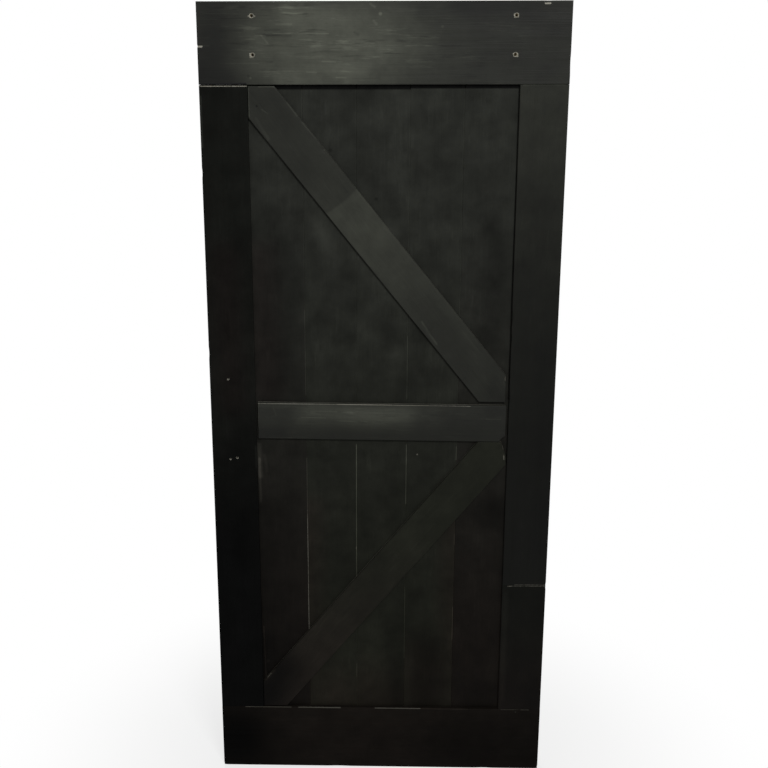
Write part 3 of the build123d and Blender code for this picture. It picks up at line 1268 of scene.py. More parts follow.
@dataclass
class Plate:
    """A flat piece with straight ends on the front of the boards, its front corners eased.

    Attributes:
        corners: its outline from the front, counterclockwise in X and Z.
        angle: of its length above level, in degrees.
        through: its front and back.
        ease: radius of its front corners.
        pilots: middles of its screw holes in X and Z.
        step: widest spacing of its lines.
        hollows: dents and chips.
        waves: unevenness of its face.
        wave_depth: depth of that unevenness.
    """

    corners: Array
    angle: float
    through: Place
    pilots: Array
    ease: float = 1.5
    step: float = 3.6
    hollows: tuple[Hollow, ...] = ()
    waves: Waves = Waves(1)
    wave_depth: float = 0.45

    corner_lines = 5
    pilot_radius = 2.1
    pilot_straight = 4.6
    pilot_depth = 8.1
    pilot_cells = 2  # cells of the back left out each way from a pilot hole
    side_lines = 3
    back_reach = 3.0  # distance from the back at which waves and hollows are whole
    flat_from = 0.98  # share of its normal that faces front from which a point counts as flat
    corner_tilt = 0.7  # that share in the middle of an eased corner
    level_room = 1.0  # a corner nearer to the low or the high end gets no level of its own

    def inward(self, inset: float) -> Array:
        """Corners of the outline moved in from every side: where the moved sides meet.

        Args:
            inset: how far each side moves in.

        Returns:
            The corners, along and across the piece.
        """
        corners = np.column_stack(turned(*self.corners.T, self.angle))
        side = np.roll(corners, -1, axis=0) - corners
        side /= np.linalg.norm(side, axis=1, keepdims=True)
        normal = np.column_stack([-side[:, 1], side[:, 0]])
        before, before_normal = np.roll(side, 1, axis=0), np.roll(normal, 1, axis=0)
        from_before, from_side = corners + before_normal * inset, corners + normal * inset
        gap = from_side - from_before
        cross = before[:, 0] * side[:, 1] - before[:, 1] * side[:, 0]
        reach = (gap[:, 0] * side[:, 1] - gap[:, 1] * side[:, 0]) / cross
        return from_before + before * reach[:, None]

    def sheet(self, inset: float) -> Array:
        """The outline filled by lines across and along: at each height between the two long
        sides the point runs from the left chain of corners to the right one.

        Args:
            inset: how far the outline is moved in.

        Returns:
            Grid of places in X and Z.
        """
        first, corners = self.inward(0.0), self.inward(inset)
        low, high = first[:, 1].min(), first[:, 1].max()
        middle = (first[:, 0].min() + first[:, 0].max()) / 2
        chains, levels = [], []
        for left in (True, False):
            chain = np.flatnonzero((first[:, 0] < middle) == left)
            chain = chain[np.argsort(first[chain, 1])]
            chains.append(chain)
            from_end = np.minimum(first[chain, 1] - low, high - first[chain, 1])
            levels.append(chain[from_end > self.level_room])
        order = np.concatenate(levels)
        order = order[np.argsort(first[order, 1])]
        knots = np.concatenate([[chains[0][0]], order, [chains[0][-1]]])
        counts = np.maximum(1, np.ceil(np.diff(first[knots, 1]) / self.step)).astype(int)
        spans = [
            np.linspace(corners[a, 1], corners[b, 1], count + 1)[:-1]
            for a, b, count in zip(knots, knots[1:], counts)
        ]
        across = np.concatenate([*spans, corners[knots[-1:], 1]])
        ends = [np.interp(across, corners[chain, 1], corners[chain, 0]) for chain in chains]
        length = first[:, 0].max() - first[:, 0].min()
        share = np.linspace(0, 1, math.ceil(length / self.step) + 1)
        along = ends[0][:, None] + (ends[1] - ends[0])[:, None] * share
        return np.stack(turned(along, across[:, None], -self.angle), axis=-1)

    def at_depth(self, flat: Array, depth: float) -> Array:
        """Places in X and Z set at a depth."""
        return np.stack([flat[..., 0], np.full(flat.shape[:-1], depth), flat[..., 1]], axis=-1)

    def border(self, inset: float, depth: float) -> Array:
        """The outline's points in order, moved in and set at a depth."""
        return self.at_depth(round_of(self.sheet(inset)), depth)

    def drilled_back(self, skin: Skin) -> None:
        """Adds the back with its screw holes.

        Round each hole a square of the back's cells is left out, and rings run from the
        square's border to the rim, down the hole and to its point.

        Args:
            skin: where its patches go.
        """
        back, sheet = self.through[1], self.sheet(0.0)
        keep = np.ones((len(sheet) - 1, len(sheet[0]) - 1), bool)
        reach = self.pilot_cells
        for centre in self.pilots:
            away = np.linalg.norm(sheet - centre, axis=-1)
            row, column = np.unravel_index(np.argmin(away), away.shape)
            keep[row - reach:row + reach, column - reach:column + reach] = False
            square = sheet[row - reach:row + reach + 1, column - reach:column + reach + 1]
            spokes = round_of(square) - centre
            rim = spokes / np.linalg.norm(spokes, axis=1, keepdims=True) * self.pilot_radius
            tip = rim * 0
            rings = [(spokes, 0.0), (rim, 0.0), (rim, self.pilot_straight), (tip, self.pilot_depth)]
            hole = [self.at_depth(centre + ring, back - depth) for ring, depth in rings]
            skin.grid(np.stack(hole), ring=True)
        skin.grid(self.at_depth(sheet, back), keep=keep)

    def mesh(self, name: str) -> bpy.types.Mesh:
        """Builds the closed surface: face, eased corners, sides and drilled back.

        Args:
            name: the mesh's name.

        Returns:
            The mesh.
        """
        skin = Skin()
        front, back = self.through
        skin.grid(self.at_depth(self.sheet(self.ease), front))
        turns = np.linspace(0, np.pi / 2, self.corner_lines + 1)
        rings = [
            (self.ease * (1 - math.sin(turn)), front + self.ease * (1 - math.cos(turn)))
            for turn in turns
        ]
        rings += [(0.0, y) for y in np.linspace(front + self.ease, back, self.side_lines + 1)[1:]]
        skin.grid(np.stack([self.border(inset, y) for inset, y in rings]), ring=True)
        self.drilled_back(skin)
        mesh = skin.mesh(name)
        self.mark_shares(mesh)
        self.wear(mesh)
        return mesh

    def mark_shares(self, mesh: bpy.types.Mesh) -> None:
        """Stores where the eased corners are, and that the back was never painted.

        Args:
            mesh: the plate's mesh.
        """
        points, normals = read_points(mesh), read_points(mesh, "normal")
        eased = points[:, 1] < self.through[0] + self.ease - TINY
        tilted = np.abs(normals[:, 1])
        eased &= tilted < self.flat_from
        write_share(mesh, "edge", np.where(eased, 1 - np.abs(tilted - self.corner_tilt) * 2, 0))
        write_share(mesh, "bare", np.where(points[:, 1] > self.through[1] - TINY, 1.0, 0.0))

    def wear(self, mesh: bpy.types.Mesh) -> None:
        """Sinks the front and the sides by the waves and the hollows.

        Args:
            mesh: the plate's mesh.
        """
        points, normals = read_points(mesh), read_points(mesh, "normal")
        along, across = turned(points[:, 0], points[:, 2], self.angle)
        shown = np.clip((self.through[1] - points[:, 1]) / self.back_reach, 0, 1)
        depth = self.wave_depth * self.waves.at(along, across) * shown
        for hollow in self.hollows:
            depth += hollow.sink(points) * shown
        write_points(mesh, points - normals * depth[:, None])


def extents(node: str, lay: Lay) -> list[Place]:
    """A CAD node's ends along, across and through the timber that it is."""
    return [tuple(pair) for pair in lay.to_own(node_box(node)).T]


@dataclass
class LeafFrame:
    """What rails and stiles share: eased edges, the groove for the boards, and dowel bores."""

    arris: float = 1.5
    groove_half: float = 6.2
    groove_depth: float = 12.0
    dowel_clearance: float = 0.05
    dowel_end_clearance: float = 1.5
    dowel_mouth: float = 1.0
    dowel_grid: tuple[int, int] = (3, 5)
    slot: str = "frame_paint"

    def grooved(self, stop: float | None = None) -> Edge:
        """An edge with the groove for the boards."""
        return Edge(self.arris, True, self.groove_half, self.groove_depth, stop)

    def dowel_bores(self, corner: str, axis: int, edge: float, into: int) -> list[Bore]:
        """Bores for the pair of dowels at one corner of the leaf.

        Args:
            corner: such as top_left.
            axis: the timber's own axis that they run along.
            edge: height of the face that they open in.
            into: 1 if the timber lies above that face and -1 if below.

        Returns:
            Two bores.
        """
        low, high = node_box(f"{corner}_dowels")
        radius = (high[1] - low[1]) / 2
        wide = radius + self.dowel_clearance
        mouth = edge + into * self.dowel_mouth
        floor = (high if into > 0 else low)[2] + into * self.dowel_end_clearance
        profile = ((wide, edge), (wide, mouth), (wide, floor), (0.0, floor))
        pitch = self.groove_half / self.dowel_grid[0]
        middles = (low[0] + radius, high[0] - radius)
        return [Bore(axis, (x, 0.0), profile, pitch, *self.dowel_grid) for x in middles]

    def dress(self, node: str, timber: Timber, paint: PaintedPine) -> None:
        """Builds one timber and shows it."""
        finish_piece(timber.mesh(node), node, self.slot, paint.material())


@dataclass
class Rails(LeafFrame):
    """Top and bottom rail: full width, drilled for hangers and dowels, grooved for the boards."""

    guide_half: float = 4.0
    guide_depth: float = 15.0
    hanger_depth: float = 30.0
    hanger_tear: float = 1.0
    hanger_pitch: float = 2.0

    wave_seeds = {"top": 11, "bottom": 12}

    def hanger_bores(self) -> list[Bore]:
        """The four pilot holes of the hangers' screws, their mouths torn open."""
        hanger = mount("hanger_bolts")
        sizes, (x, y, z) = hanger["dims"], (value / MM for value in hanger["pos_m"])
        radius, tear, floor = sizes["hole_r_mm"], self.hanger_tear, y + self.hanger_depth
        profile = ((radius + tear, y), (radius + tear / 3, y + tear / 3), (radius, y + tear))
        profile += ((radius, floor), (0.0, floor))
        places = [
            (x + side * sizes["spacing_x_mm"] / 2, z + up * sizes["spacing_y_mm"] / 2)
            for side in (-1, 1)
            for up in (-1, 1)
        ]
        return [Bore(2, place, profile, self.hanger_pitch) for place in places]

    def rail(self, end: str) -> Timber:
        """The rail at one end of the leaf, top or bottom.

        Args:
            end: top or bottom.

        Returns:
            The timber.
        """
        along, across, through = extents(f"{end}_rail", Lay.RAIL)
        grooved = self.grooved(self.groove_depth - node_box("left_stile")[1, 0])
        guided = Edge(self.arris, True, self.guide_half, self.guide_depth)
        low, high, edge, into = (
            (grooved, Edge(self.arris), across[0], 1)
            if end == "top"
            else (guided, grooved, across[1], -1)
        )
        bores = self.hanger_bores() if end == "top" else []
        for hand in ("left", "right"):
            bores += self.dowel_bores(f"{end}_{hand}", 1, edge, into)
        return Timber(
            Lay.RAIL, along, across, through, low, high, tuple(bores), hollows=RAIL_HOLLOWS[end],
            waves=Waves(self.wave_seeds[end]), painted_ends=True,
        )

    def build(self) -> None:
        """Builds and dresses both rails."""
        self.dress("top_rail", self.rail("top"), TOP_RAIL_PAINT)
        self.dress("bottom_rail", self.rail("bottom"), BOTTOM_RAIL_PAINT)


@dataclass
class Stiles(LeafFrame):
    """Left stile with its handle holes, and right stile in two finger jointed lengths."""

    stray_hole: Place = (17.5, 4.0)
    handle_depth: float = 24.0
    handle_mouth: float = 0.4
    handle_grid: tuple[float, int, int] = (1.1, 2, 5)

    def handle_bores(self) -> list[Bore]:
        """The two screw holes of a pull handle, and a stray one."""
        handle = mount("handle_screws")
        x, y, z = (value / MM for value in handle["pos_m"])
        radius, pitch = handle["dims"]["hole_r_mm"], handle["dims"]["spacing_y_mm"]
        low, mouth, floor = z - pitch / 2, self.handle_mouth, y + self.handle_depth
        places = [(low, x), (z + pitch / 2, x), (low + self.stray_hole[1], x + self.stray_hole[0])]
        profile = ((radius + mouth, y), (radius, y + mouth), (radius, floor), (0.0, floor))
        return [Bore(2, place, profile, *self.handle_grid) for place in places]

    def left(self) -> Timber:
        """The left stile."""
        along, across, through = extents("left_stile", Lay.STILE)
        bores = self.dowel_bores("bottom_left", 0, along[0], 1)
        bores += self.dowel_bores("top_left", 0, along[1], -1) + self.handle_bores()
        return Timber(
            Lay.STILE, along, across, through, Edge(self.arris), self.grooved(), tuple(bores),
            hollows=LEFT_STILE_HOLLOWS, waves=Waves(21),
        )

    def right(self, node: str, fingers: int) -> Timber:
        """One length of the right stile.

        Args:
            node: its CAD node.
            fingers: -1 if its lower end is finger jointed, 1 if its upper end is.

        Returns:
            The timber.
        """
        (start, end), across, through = extents(node, Lay.STILE)
        if fingers > 0:
            end -= Timber.finger_length
            bores = self.dowel_bores("bottom_right", 0, start, 1)
        else:
            bores = self.dowel_bores("top_right", 0, end, -1)
        return Timber(
            Lay.STILE, (start, end), across, through, self.grooved(), Edge(self.arris),
            tuple(bores), fingers, hollows=RIGHT_STILE_HOLLOWS, waves=Waves(22 + fingers),
        )

    def build(self) -> None:
        """Builds and dresses the three lengths."""
        self.dress("left_stile", self.left(), LEFT_STILE_PAINT)
        lengths = {"upper": (-1, RIGHT_STILE_UPPER_PAINT), "lower": (1, RIGHT_STILE_LOWER_PAINT)}
        for name, (fingers, paint) in lengths.items():
            node = f"right_stile_{name}"
            self.dress(node, self.right(node, fingers), paint)


@dataclass
class Boards:
    """Five tongued and grooved boards, each a little cupped, with screw holes."""

    count: int = 5
    v: float = 1.2
    tongue_half: float = 2.1
    tongue_length: float = 6.5
    tongue_clearance: float = 0.15
    tongue_end_clearance: float = 0.7
    screw_radius: float = 2.1
    head_radius: float = 4.1
    head_depth: float = 2.4
    screw_grid: tuple[float, int, int] = (1.6, 2, 5)
    slot: str = "board_paint"

    def screw_bores(self, left: float, right: float, faces: Place) -> list[Bore]:
        """Countersunk holes for the screws that pass through one board.

        Args:
            left: the board's left face.
            right: its right face.
            faces: its front and back.

        Returns:
            A bore for each screw.
        """
        front, back = faces
        profile = (
            (self.screw_radius, front),
            (self.screw_radius, back - self.head_depth),
            (self.head_radius, back),
        )
        middles = np.concatenate([screw_middles(node) for node in SCREW_NODES])
        return [Bore(2, (z, x), profile, *self.screw_grid) for x, z in middles if left < x < right]

    def board(self, index: int) -> Timber:
        """One board, by its place from the left.

        Args:
            index: its place, 0 at the left.

        Returns:
            The timber.
        """
        along, (left, right), through = extents(f"board_{index + 1}", Lay.STILE)
        first, last = index == 0, index == self.count - 1
        right -= 0.0 if last else self.tongue_length
        gap = node_box("board_2")[0, 0] - node_box("board_1")[1, 0] + self.tongue_length
        groove = self.tongue_length - gap + self.tongue_end_clearance
        grooved = Edge(self.v, False, self.tongue_half + self.tongue_clearance, groove)
        tongued = Edge(self.v, False, self.tongue_half, -self.tongue_length)
        low = Edge(rounded=False) if first else grooved
        high = Edge(rounded=False) if last else tongued
        bores = tuple(self.screw_bores(left, right, through))
        return Timber(
            Lay.STILE, along, (left, right), through, low, high, bores, step_along=8.0,
            step_across=5.0, waves=Waves(31 + index, across=(60.0, 240.0)), wave_depth=0.4,
        )

    def build(self) -> None:
        """Builds and dresses every board."""
        for index in range(self.count):
            node = f"board_{index + 1}"
            mesh, paint = self.board(index).mesh(node), board_paint(index)
            finish_piece(mesh, node, self.slot, paint.material())


def screw_middles(node: str, apart: float = 20.0) -> Array:
    """Middle of each screw of a node in X and Z, its points parted at wide gaps in X.

    Args:
        node: the screws' CAD node.
        apart: gap in X that parts two screws.

    Returns:
        A row of X and Z for each screw.
    """
    points = node_points(node)[:, [0, 2]]
    points = points[np.argsort(points[:, 0])]
    groups = np.split(points, np.flatnonzero(np.diff(points[:, 0]) > apart) + 1)
    return np.array([(group.min(axis=0) + group.max(axis=0)) / 2 for group in groups])


def outline_of(node: str, bend: float = 0.02) -> Array:
    """Corners of a flat CAD node from the front: the hull of its points, without those in line.

    Args:
        node: the CAD node.
        bend: sine of the smallest turn that counts as a corner.

    Returns:
        The corners in X and Z, counterclockwise.
    """
    points = np.unique(np.round(node_points(node)[:, [0, 2]], 2), axis=0)
    hull = points[convex_hull_2d([tuple(point) for point in points])]
    before, after = hull - np.roll(hull, 1, axis=0), np.roll(hull, -1, axis=0) - hull
    turn = before[:, 0] * after[:, 1] - before[:, 1] * after[:, 0]
    sides = np.linalg.norm(before, axis=1) * np.linalg.norm(after, axis=1)
    corners = hull[np.abs(turn) > bend * sides]
    area = corners[:, 0] @ np.roll(corners[:, 1], -1) - corners[:, 1] @ np.roll(corners[:, 0], -1)
    return corners if area > 0 else corners[::-1]


@dataclass
class Infill:
    """Mid rail and the two corner to corner braces on the front of the boards."""

    slot: str = "brace_paint"

    def plate(self, node: str, seed: int) -> Plate:
        """One piece, from its CAD node's outline.

        Args:
            node: the CAD node.
            seed: of its unevenness.

        Returns:
            The plate, which lies along its longest side.
        """
        corners = outline_of(node)
        side = np.roll(corners, -1, axis=0) - corners
        longest = side[np.argmax(np.linalg.norm(side, axis=1))]
        angle = (math.degrees(math.atan2(longest[1], longest[0])) + 90) % 180 - 90
        through = tuple(node_box(node)[:, 1])
        pilots, hollows = screw_middles(f"{node}_screws"), INFILL_HOLLOWS[node]
        return Plate(corners, angle, through, pilots, hollows=hollows, waves=Waves(seed))

    def build(self) -> None:
        """Builds and dresses the three pieces."""
        for seed, (node, paint) in enumerate(INFILL_PAINT.items(), start=41):
            plate = self.plate(node, seed)
            finish = replace(paint, grain=plate.angle, front=plate.through[0])
            finish_piece(plate.mesh(node), node, self.slot, finish.material())


@dataclass
class Fixings:
    """Screws with a cross recess and a thread, and the dowels' bare wood."""

    head_radius: float = 4.0
    shank_radius: float = 2.0
    core_radius: float = 1.45
    head_depth: float = 2.4
    length: float = 20.0
    point: float = 3.5
    neck: float = 4.0
    thread_start: float = 4.4
    thread_pitch: float = 1.8
    ridge: float = 0.2
    recess_depth: float = 1.7
    recess_reach: float = 2.2
    recess_width: float = 0.9
    recess_slopes: Place = (0.4, 0.6)
    spokes: int = 40
    head_rings: int = 15
    thread_rings: int = 44

    def angles(self) -> Array:
        """Angle of each spoke round a screw."""
        return np.linspace(0, 2 * np.pi, self.spokes, endpoint=False)

    def head(self, turn: float) -> Array:
        """Top of a head, in rings out from its middle, sunk by the cross recess.

        The recess is a cross of two bars: its depth falls off linearly past half the bar's
        width and past its reach.

        Args:
            turn: angle about the screw's axis.

        Returns:
            Grid of points, a row for each ring.
        """
        radii = np.linspace(0, self.head_radius, self.head_rings)[:, None]
        u, v = radii * np.cos(self.angles()), radii * np.sin(self.angles())
        aside, ahead = self.recess_slopes
        bars = []
        for along, across in ((u, v), (v, u)):
            side = np.clip(1 - (np.abs(across) - self.recess_width / 2) / aside, 0, 1)
            bars.append(side * np.clip(1 - (np.abs(along) - self.recess_reach) / ahead, 0, 1))
        sunk = self.recess_depth * np.maximum(*bars)
        sunk[-1] = 0
        return self.set_in(u, v, sunk, turn)

    def shank(self, turn: float) -> Array:
        """Cone under the head, neck, thread and point, in rings down the screw.

        The thread's radius is its core plus a ridge where the turn and the depth agree.

        Args:
            turn: angle about the screw's axis.

        Returns:
            Grid of points, a row for each ring.
        """
        threaded = np.linspace(self.thread_start, self.length, self.thread_rings)
        depths = np.concatenate([[0.0, self.head_depth, self.neck], threaded])
        angles = self.angles()
        phase = (depths[:, None] / self.thread_pitch - angles / (2 * np.pi)) % 1
        ridge = np.clip(1 - np.abs(phase - 0.5) / self.ridge, 0, 1)
        radius = self.core_radius + (self.shank_radius - self.core_radius) * ridge
        radius[:3] = np.array([self.head_radius, self.shank_radius, self.shank_radius])[:, None]
        radius *= np.clip((self.length - depths) / self.point, 0, 1)[:, None]
        sunk = np.broadcast_to(depths[:, None], radius.shape)
        return self.set_in(radius * np.cos(angles), radius * np.sin(angles), sunk, turn)

    def set_in(self, u: Array, v: Array, sunk: Array, turn: float) -> Array:
        """Points of a screw that stands in from the back, turned about its axis."""
        x, z = turned(u, v, -math.degrees(turn))
        return np.stack([x, -sunk, z], axis=-1)

    def screws(self, node: str, seed: int) -> bpy.types.Mesh:
        """All screws of one node.

        Args:
            node: the screws' CAD node.
            seed: of their turns.

        Returns:
            The mesh.
        """
        random = np.random.default_rng(seed)
        back = node_box(node)[1, 1]
        skin = Skin()
        for x, z in screw_middles(node):
            turn = random.uniform(0, np.pi)
            for part in (self.head(turn), self.shank(turn)):
                skin.grid(part + np.array([x, back, z]), ring=True)
        return skin.mesh(node)

    def build(self) -> None:
        """Builds the screws and dresses the dowels."""
        steel, beech = ScrewSteel().material(), BareWood().material()
        for seed, node in enumerate(SCREW_NODES, start=51):
            finish_piece(self.screws(node, seed), node, "screw_steel", steel)
        for node, piece in frame["nodes"].items():
            if node.endswith("_dowels"):
                piece.data.materials.clear()
                piece.data.materials.append(beech)


class Tint(Enum):
    """Cast of the worn black paint, as shares of red, green and blue."""

    OLIVE = (1.0, 1.05, 0.83)
    MOSS = (1.0, 1.06, 0.76)
    PLAIN = (0.99, 1.04, 0.88)
    BROWN = (1.2, 0.98, 0.8)
    COLD = (0.97, 1.0, 0.98)


def grey(value: float, tint: Tint = Tint.OLIVE) -> Colour:
    """A near black paint colour: a grey as seen on a screen, 0 to 255, with a cast."""
    linear = ((value / 255 + 0.055) / 1.055) ** 2.4 if value > 10.3 else value / 255 / 12.92
    return tuple(linear * share for share in tint.value)


RAIL_HOLLOWS = {
    "top": (
        Hollow((-457, 2029), 26, 4, 1.6),
        Hollow((398, 2133), 9, 5, 1.8),
        Hollow((-17, 2128), 10, 4, 0.7, -40),
        Hollow((8, 2108), 12, 4, 0.6, -45),
        Hollow((-240, 2068), 90, 4, 0.35, 1),
        Hollow((-330, 1954), 7, 4, 0.6),
        Hollow((457, 1990), 8, 30, 0.8),
    ),
    "bottom": (
        Hollow((457, 5), 14, 8, 1.6),
        Hollow((-457, 3), 9, 7, 1.4),
        Hollow((300, 0), 30, 3, 0.9),
        Hollow((-120, 0), 40, 3, 0.8),
    ),
}
LEFT_STILE_HOLLOWS = (
    Hollow((-457, 1720), 3, 14, 1.2),
    Hollow((-457, 1250), 3, 18, 1.0),
    Hollow((-337, 900), 3, 60, 0.9),
    Hollow((-402, 960), 9, 5, 0.5, 20),
)
RIGHT_STILE_HOLLOWS = (
    Hollow((457, 585), 9, 14, 3.2, -60),
    Hollow((352, 588), 9, 3, 0.8, 10),
    Hollow((352, 582), 12, 3, 0.7, -8),
    Hollow((337, 1350), 4, 26, 1.6),
    Hollow((337, 1290), 4, 22, 1.3),
    Hollow((425, 599), 26, 1.5, 1.2, 1),
    Hollow((337, 1130), 3, 34, 1.0),
)
INFILL_HOLLOWS = {
    "mid_rail": (
        Hollow((324, 1012), 14, 12, 2.2, 45),
        Hollow((-235, 1111), 12, 4, 0.9),
        Hollow((-331, 1040), 3, 20, 1.0),
    ),
    "upper_brace": (
        Hollow((122, 1306), 44, 5, 2.2, -56),
        Hollow((326, 1180), 5, 14, 1.6),
        Hollow((-315, 1884), 5, 5, 0.8),
        Hollow((-150, 1777), 16, 6, 0.8, -40),
    ),
    "lower_brace": (
        Hollow((328, 986), 9, 26, 2.6, 70),
        Hollow((331, 950), 4, 12, 1.4),
        Hollow((322, 1007), 12, 5, 1.2),
    ),
}

TOP_RAIL_PAINT = PaintedPine(
    "worn black paint, top rail", grey(35.5), grey(31), (1937, 2134), 1,
    specular=0.14, roughness=0.5, streaks=0.2, scuffs=0.7, worn=0.15, wood=2.2,
    strokes=(
        # Painted highlight: these first three strokes lighten the rail left of its middle, where a
        # lamp's sheen lies.
        Stroke((-240, 2040), (-20, 2030), 180, 2.9),
        Stroke((-220, 2110), (-80, 2110), 60, 0.45),
        Stroke((-230, 1950), (-60, 1950), 60, 0.3),
        Stroke((-457, 1940), (-400, 2060), 80, -0.5),
        Stroke((-457, 1940), (-457, 2134), 120, -0.3, soft=0.8),
        Stroke((-457, 1950), (-380, 1945), 60, -0.5),
        Stroke((360, 1940), (360, 2134), 200, -0.22, soft=0.4),
        Stroke((190, 2134), (340, 2120), 60, -0.5),
        Stroke((457, 2060), (420, 2070), 50, -0.3),
        Stroke((-448, 2079), (-345, 2079), 2.0, 0.3),
        Stroke((-400, 2065), (-345, 2066), 5.5, -0.3),
        Stroke((-397, 2044), (-393, 2040), 4.0, 0.25),
        Stroke((-287, 2058), (-135, 2058), 2.6, 0.5),
        Stroke((-285, 2052), (-228, 2053), 6.0, -0.25),
        Stroke((-290, 2066), (-255, 2067), 5.0, -0.25),
        Stroke((-262, 2080), (-225, 2080), 4.0, 0.3),
        # These two tone down parts of the painted highlight.
        Stroke((-290, 2062), (-235, 2062), 45, -0.3),
        Stroke((50, 2000), (60, 1960), 60, -0.2),
        Stroke((-300, 2055), (-284, 2036), 4.0, 0.35),
        Stroke((-402, 1988), (-308, 1988), 2.4, 0.35),
        Stroke((-150, 1992), (-118, 1991), 3.6, 0.4),
        Stroke((-188, 1967), (-165, 1966), 3.0, 0.35),
        Stroke((-116, 1954), (-93, 1953), 3.2, 0.4),
        Stroke((-457, 2128), (-360, 2128), 2.4, -0.3),
        Stroke((-32, 2127), (-22, 2120), 5.0, 0.7),
        spot((-8, 2104), 6.0, 1.2),
        Stroke((-24, 2088), (-18, 2080), 6.0, 0.5),
        Stroke((-70, 2060), (-62, 2055), 7.0, -0.25),
        Stroke((260, 2127), (400, 2127), 2.6, -0.2),
        bare((-457, 2028), (-446, 2028), 3.2, 0.9),
        Stroke((-446, 2029), (-428, 2030), 3.0, 1.3),
        bare((390, 2127), (402, 2127), 2.8),
        spot((-333, 1958), 5.0, -0.35),
        spot((-328, 1953), 4.0, 0.9),
        spot((143, 2074), 5.0, 0.9),
        # Painted shadow in the open joint between the rail and the left stile.
        Stroke((-457, 1939), (-341, 1939), 3.4, -0.97, soft=0.4),
        bare((-330, 2099), (-314, 2099), 2.8, 0.62),
        bare((-328, 2011), (-327, 2002), 2.6, 0.7),
        bare((-326, 2002), (-318, 2002), 2.4, 0.5),
        bare((-316, 2010), (-316, 2004), 2.2, 0.45),
        bare((316, 2103), (317, 2095), 2.6, 0.6),
        bare((318, 2095), (326, 2096), 2.4, 0.6),
        bare((317, 2010), (318, 2004), 2.6, 0.6),
        bare((327, 2010), (327, 2004), 3.2, 0.8),
    ),
)
BOTTOM_RAIL_PAINT = PaintedPine(
    "worn black paint, bottom rail", grey(19, Tint.BROWN), grey(20, Tint.BROWN), (0, 194), 2,
    specular=0.03, roughness=0.62, wood=0.7,
    strokes=(
        Stroke((-470, 90), (-420, 90), 190, -0.97, soft=0.9),
        Stroke((230, 90), (457, 90), 180, -0.45),
        Stroke((-389, 193.2), (-257, 193.2), 1.2, 0.75, Touch.BARE, 0.6),
        Stroke((-236, 193), (-116, 193), 1.8, 0.8, Touch.BARE, 0.6),
        Stroke((-16, 193.2), (114, 193.2), 1.3, 0.9, Touch.BARE, 0.6),
        Stroke((114, 193), (250, 193), 2.0, 1.2),
        Stroke((345, 193.4), (425, 193.4), 0.9, 0.6, Touch.BARE, 0.6),
        spot((387, 185.7), 4.5, -0.8),
        spot((387, 185.7), 1.8, 0.9, Touch.BARE),
    ),
)
LEFT_STILE_PAINT = PaintedPine(
    "worn black paint, left stile", grey(7.4, Tint.COLD), grey(20, Tint.PLAIN), (650, 1250), 3, 90,
    specular=0.025, roughness=0.62, worn=0.0, wood=2.0,
    strokes=(
        Stroke((-454, 1908), (-454, 1785), 4, 1.6, soft=0.5),
        Stroke((-455, 1933.4), (-339, 1933.4), 1.4, 1.2, Touch.BARE, 0.5),
        bare((-406.5, 1179), (-406.5, 1178), 3.0, 0.6),
        bare((-408.5, 953), (-407, 951), 3.0, 0.5),
        bare((-391, 957), (-389.5, 956), 3.4, 0.8),
        Stroke((-340, 990), (-339, 930), 5.0, 0.9),
        Stroke((-410, 1500), (-400, 1120), 80, 0.9, Touch.WARM),
    ),
)
RIGHT_STILE_UPPER_PAINT = PaintedPine(
    "worn black paint, right stile", grey(7.6, Tint.MOSS), grey(37.5), (900, 2140), 4, 90,
    specular=0.09, roughness=0.55,
    strokes=(
        bare((370, 587.2), (456, 587.2), 0.9, 0.62),
        Stroke((390, 1650), (390, 1250), 160, -0.25),
        Stroke((404, 600), (452, 600), 1.6, -0.9),
        Stroke((343, 1936), (447, 1936), 1.2, 1.5),
        Stroke((430, 1300), (430, 700), 40, -0.2),
    ),
)
RIGHT_STILE_LOWER_PAINT = PaintedPine(
    "worn black paint, right stile foot", grey(14, Tint.BROWN), grey(16), (194, 584), 5, 90,
    specular=0.05, roughness=0.58,
    strokes=(
        bare((352, 582.6), (361, 582.6), 1.8, 1.0),
        bare((361, 583.4), (456, 583.4), 0.9, 0.62),
        Stroke((347, 230), (347, 560), 14, 0.6),
        Stroke((430, 200), (440, 560), 30, -0.2),
    ),
)


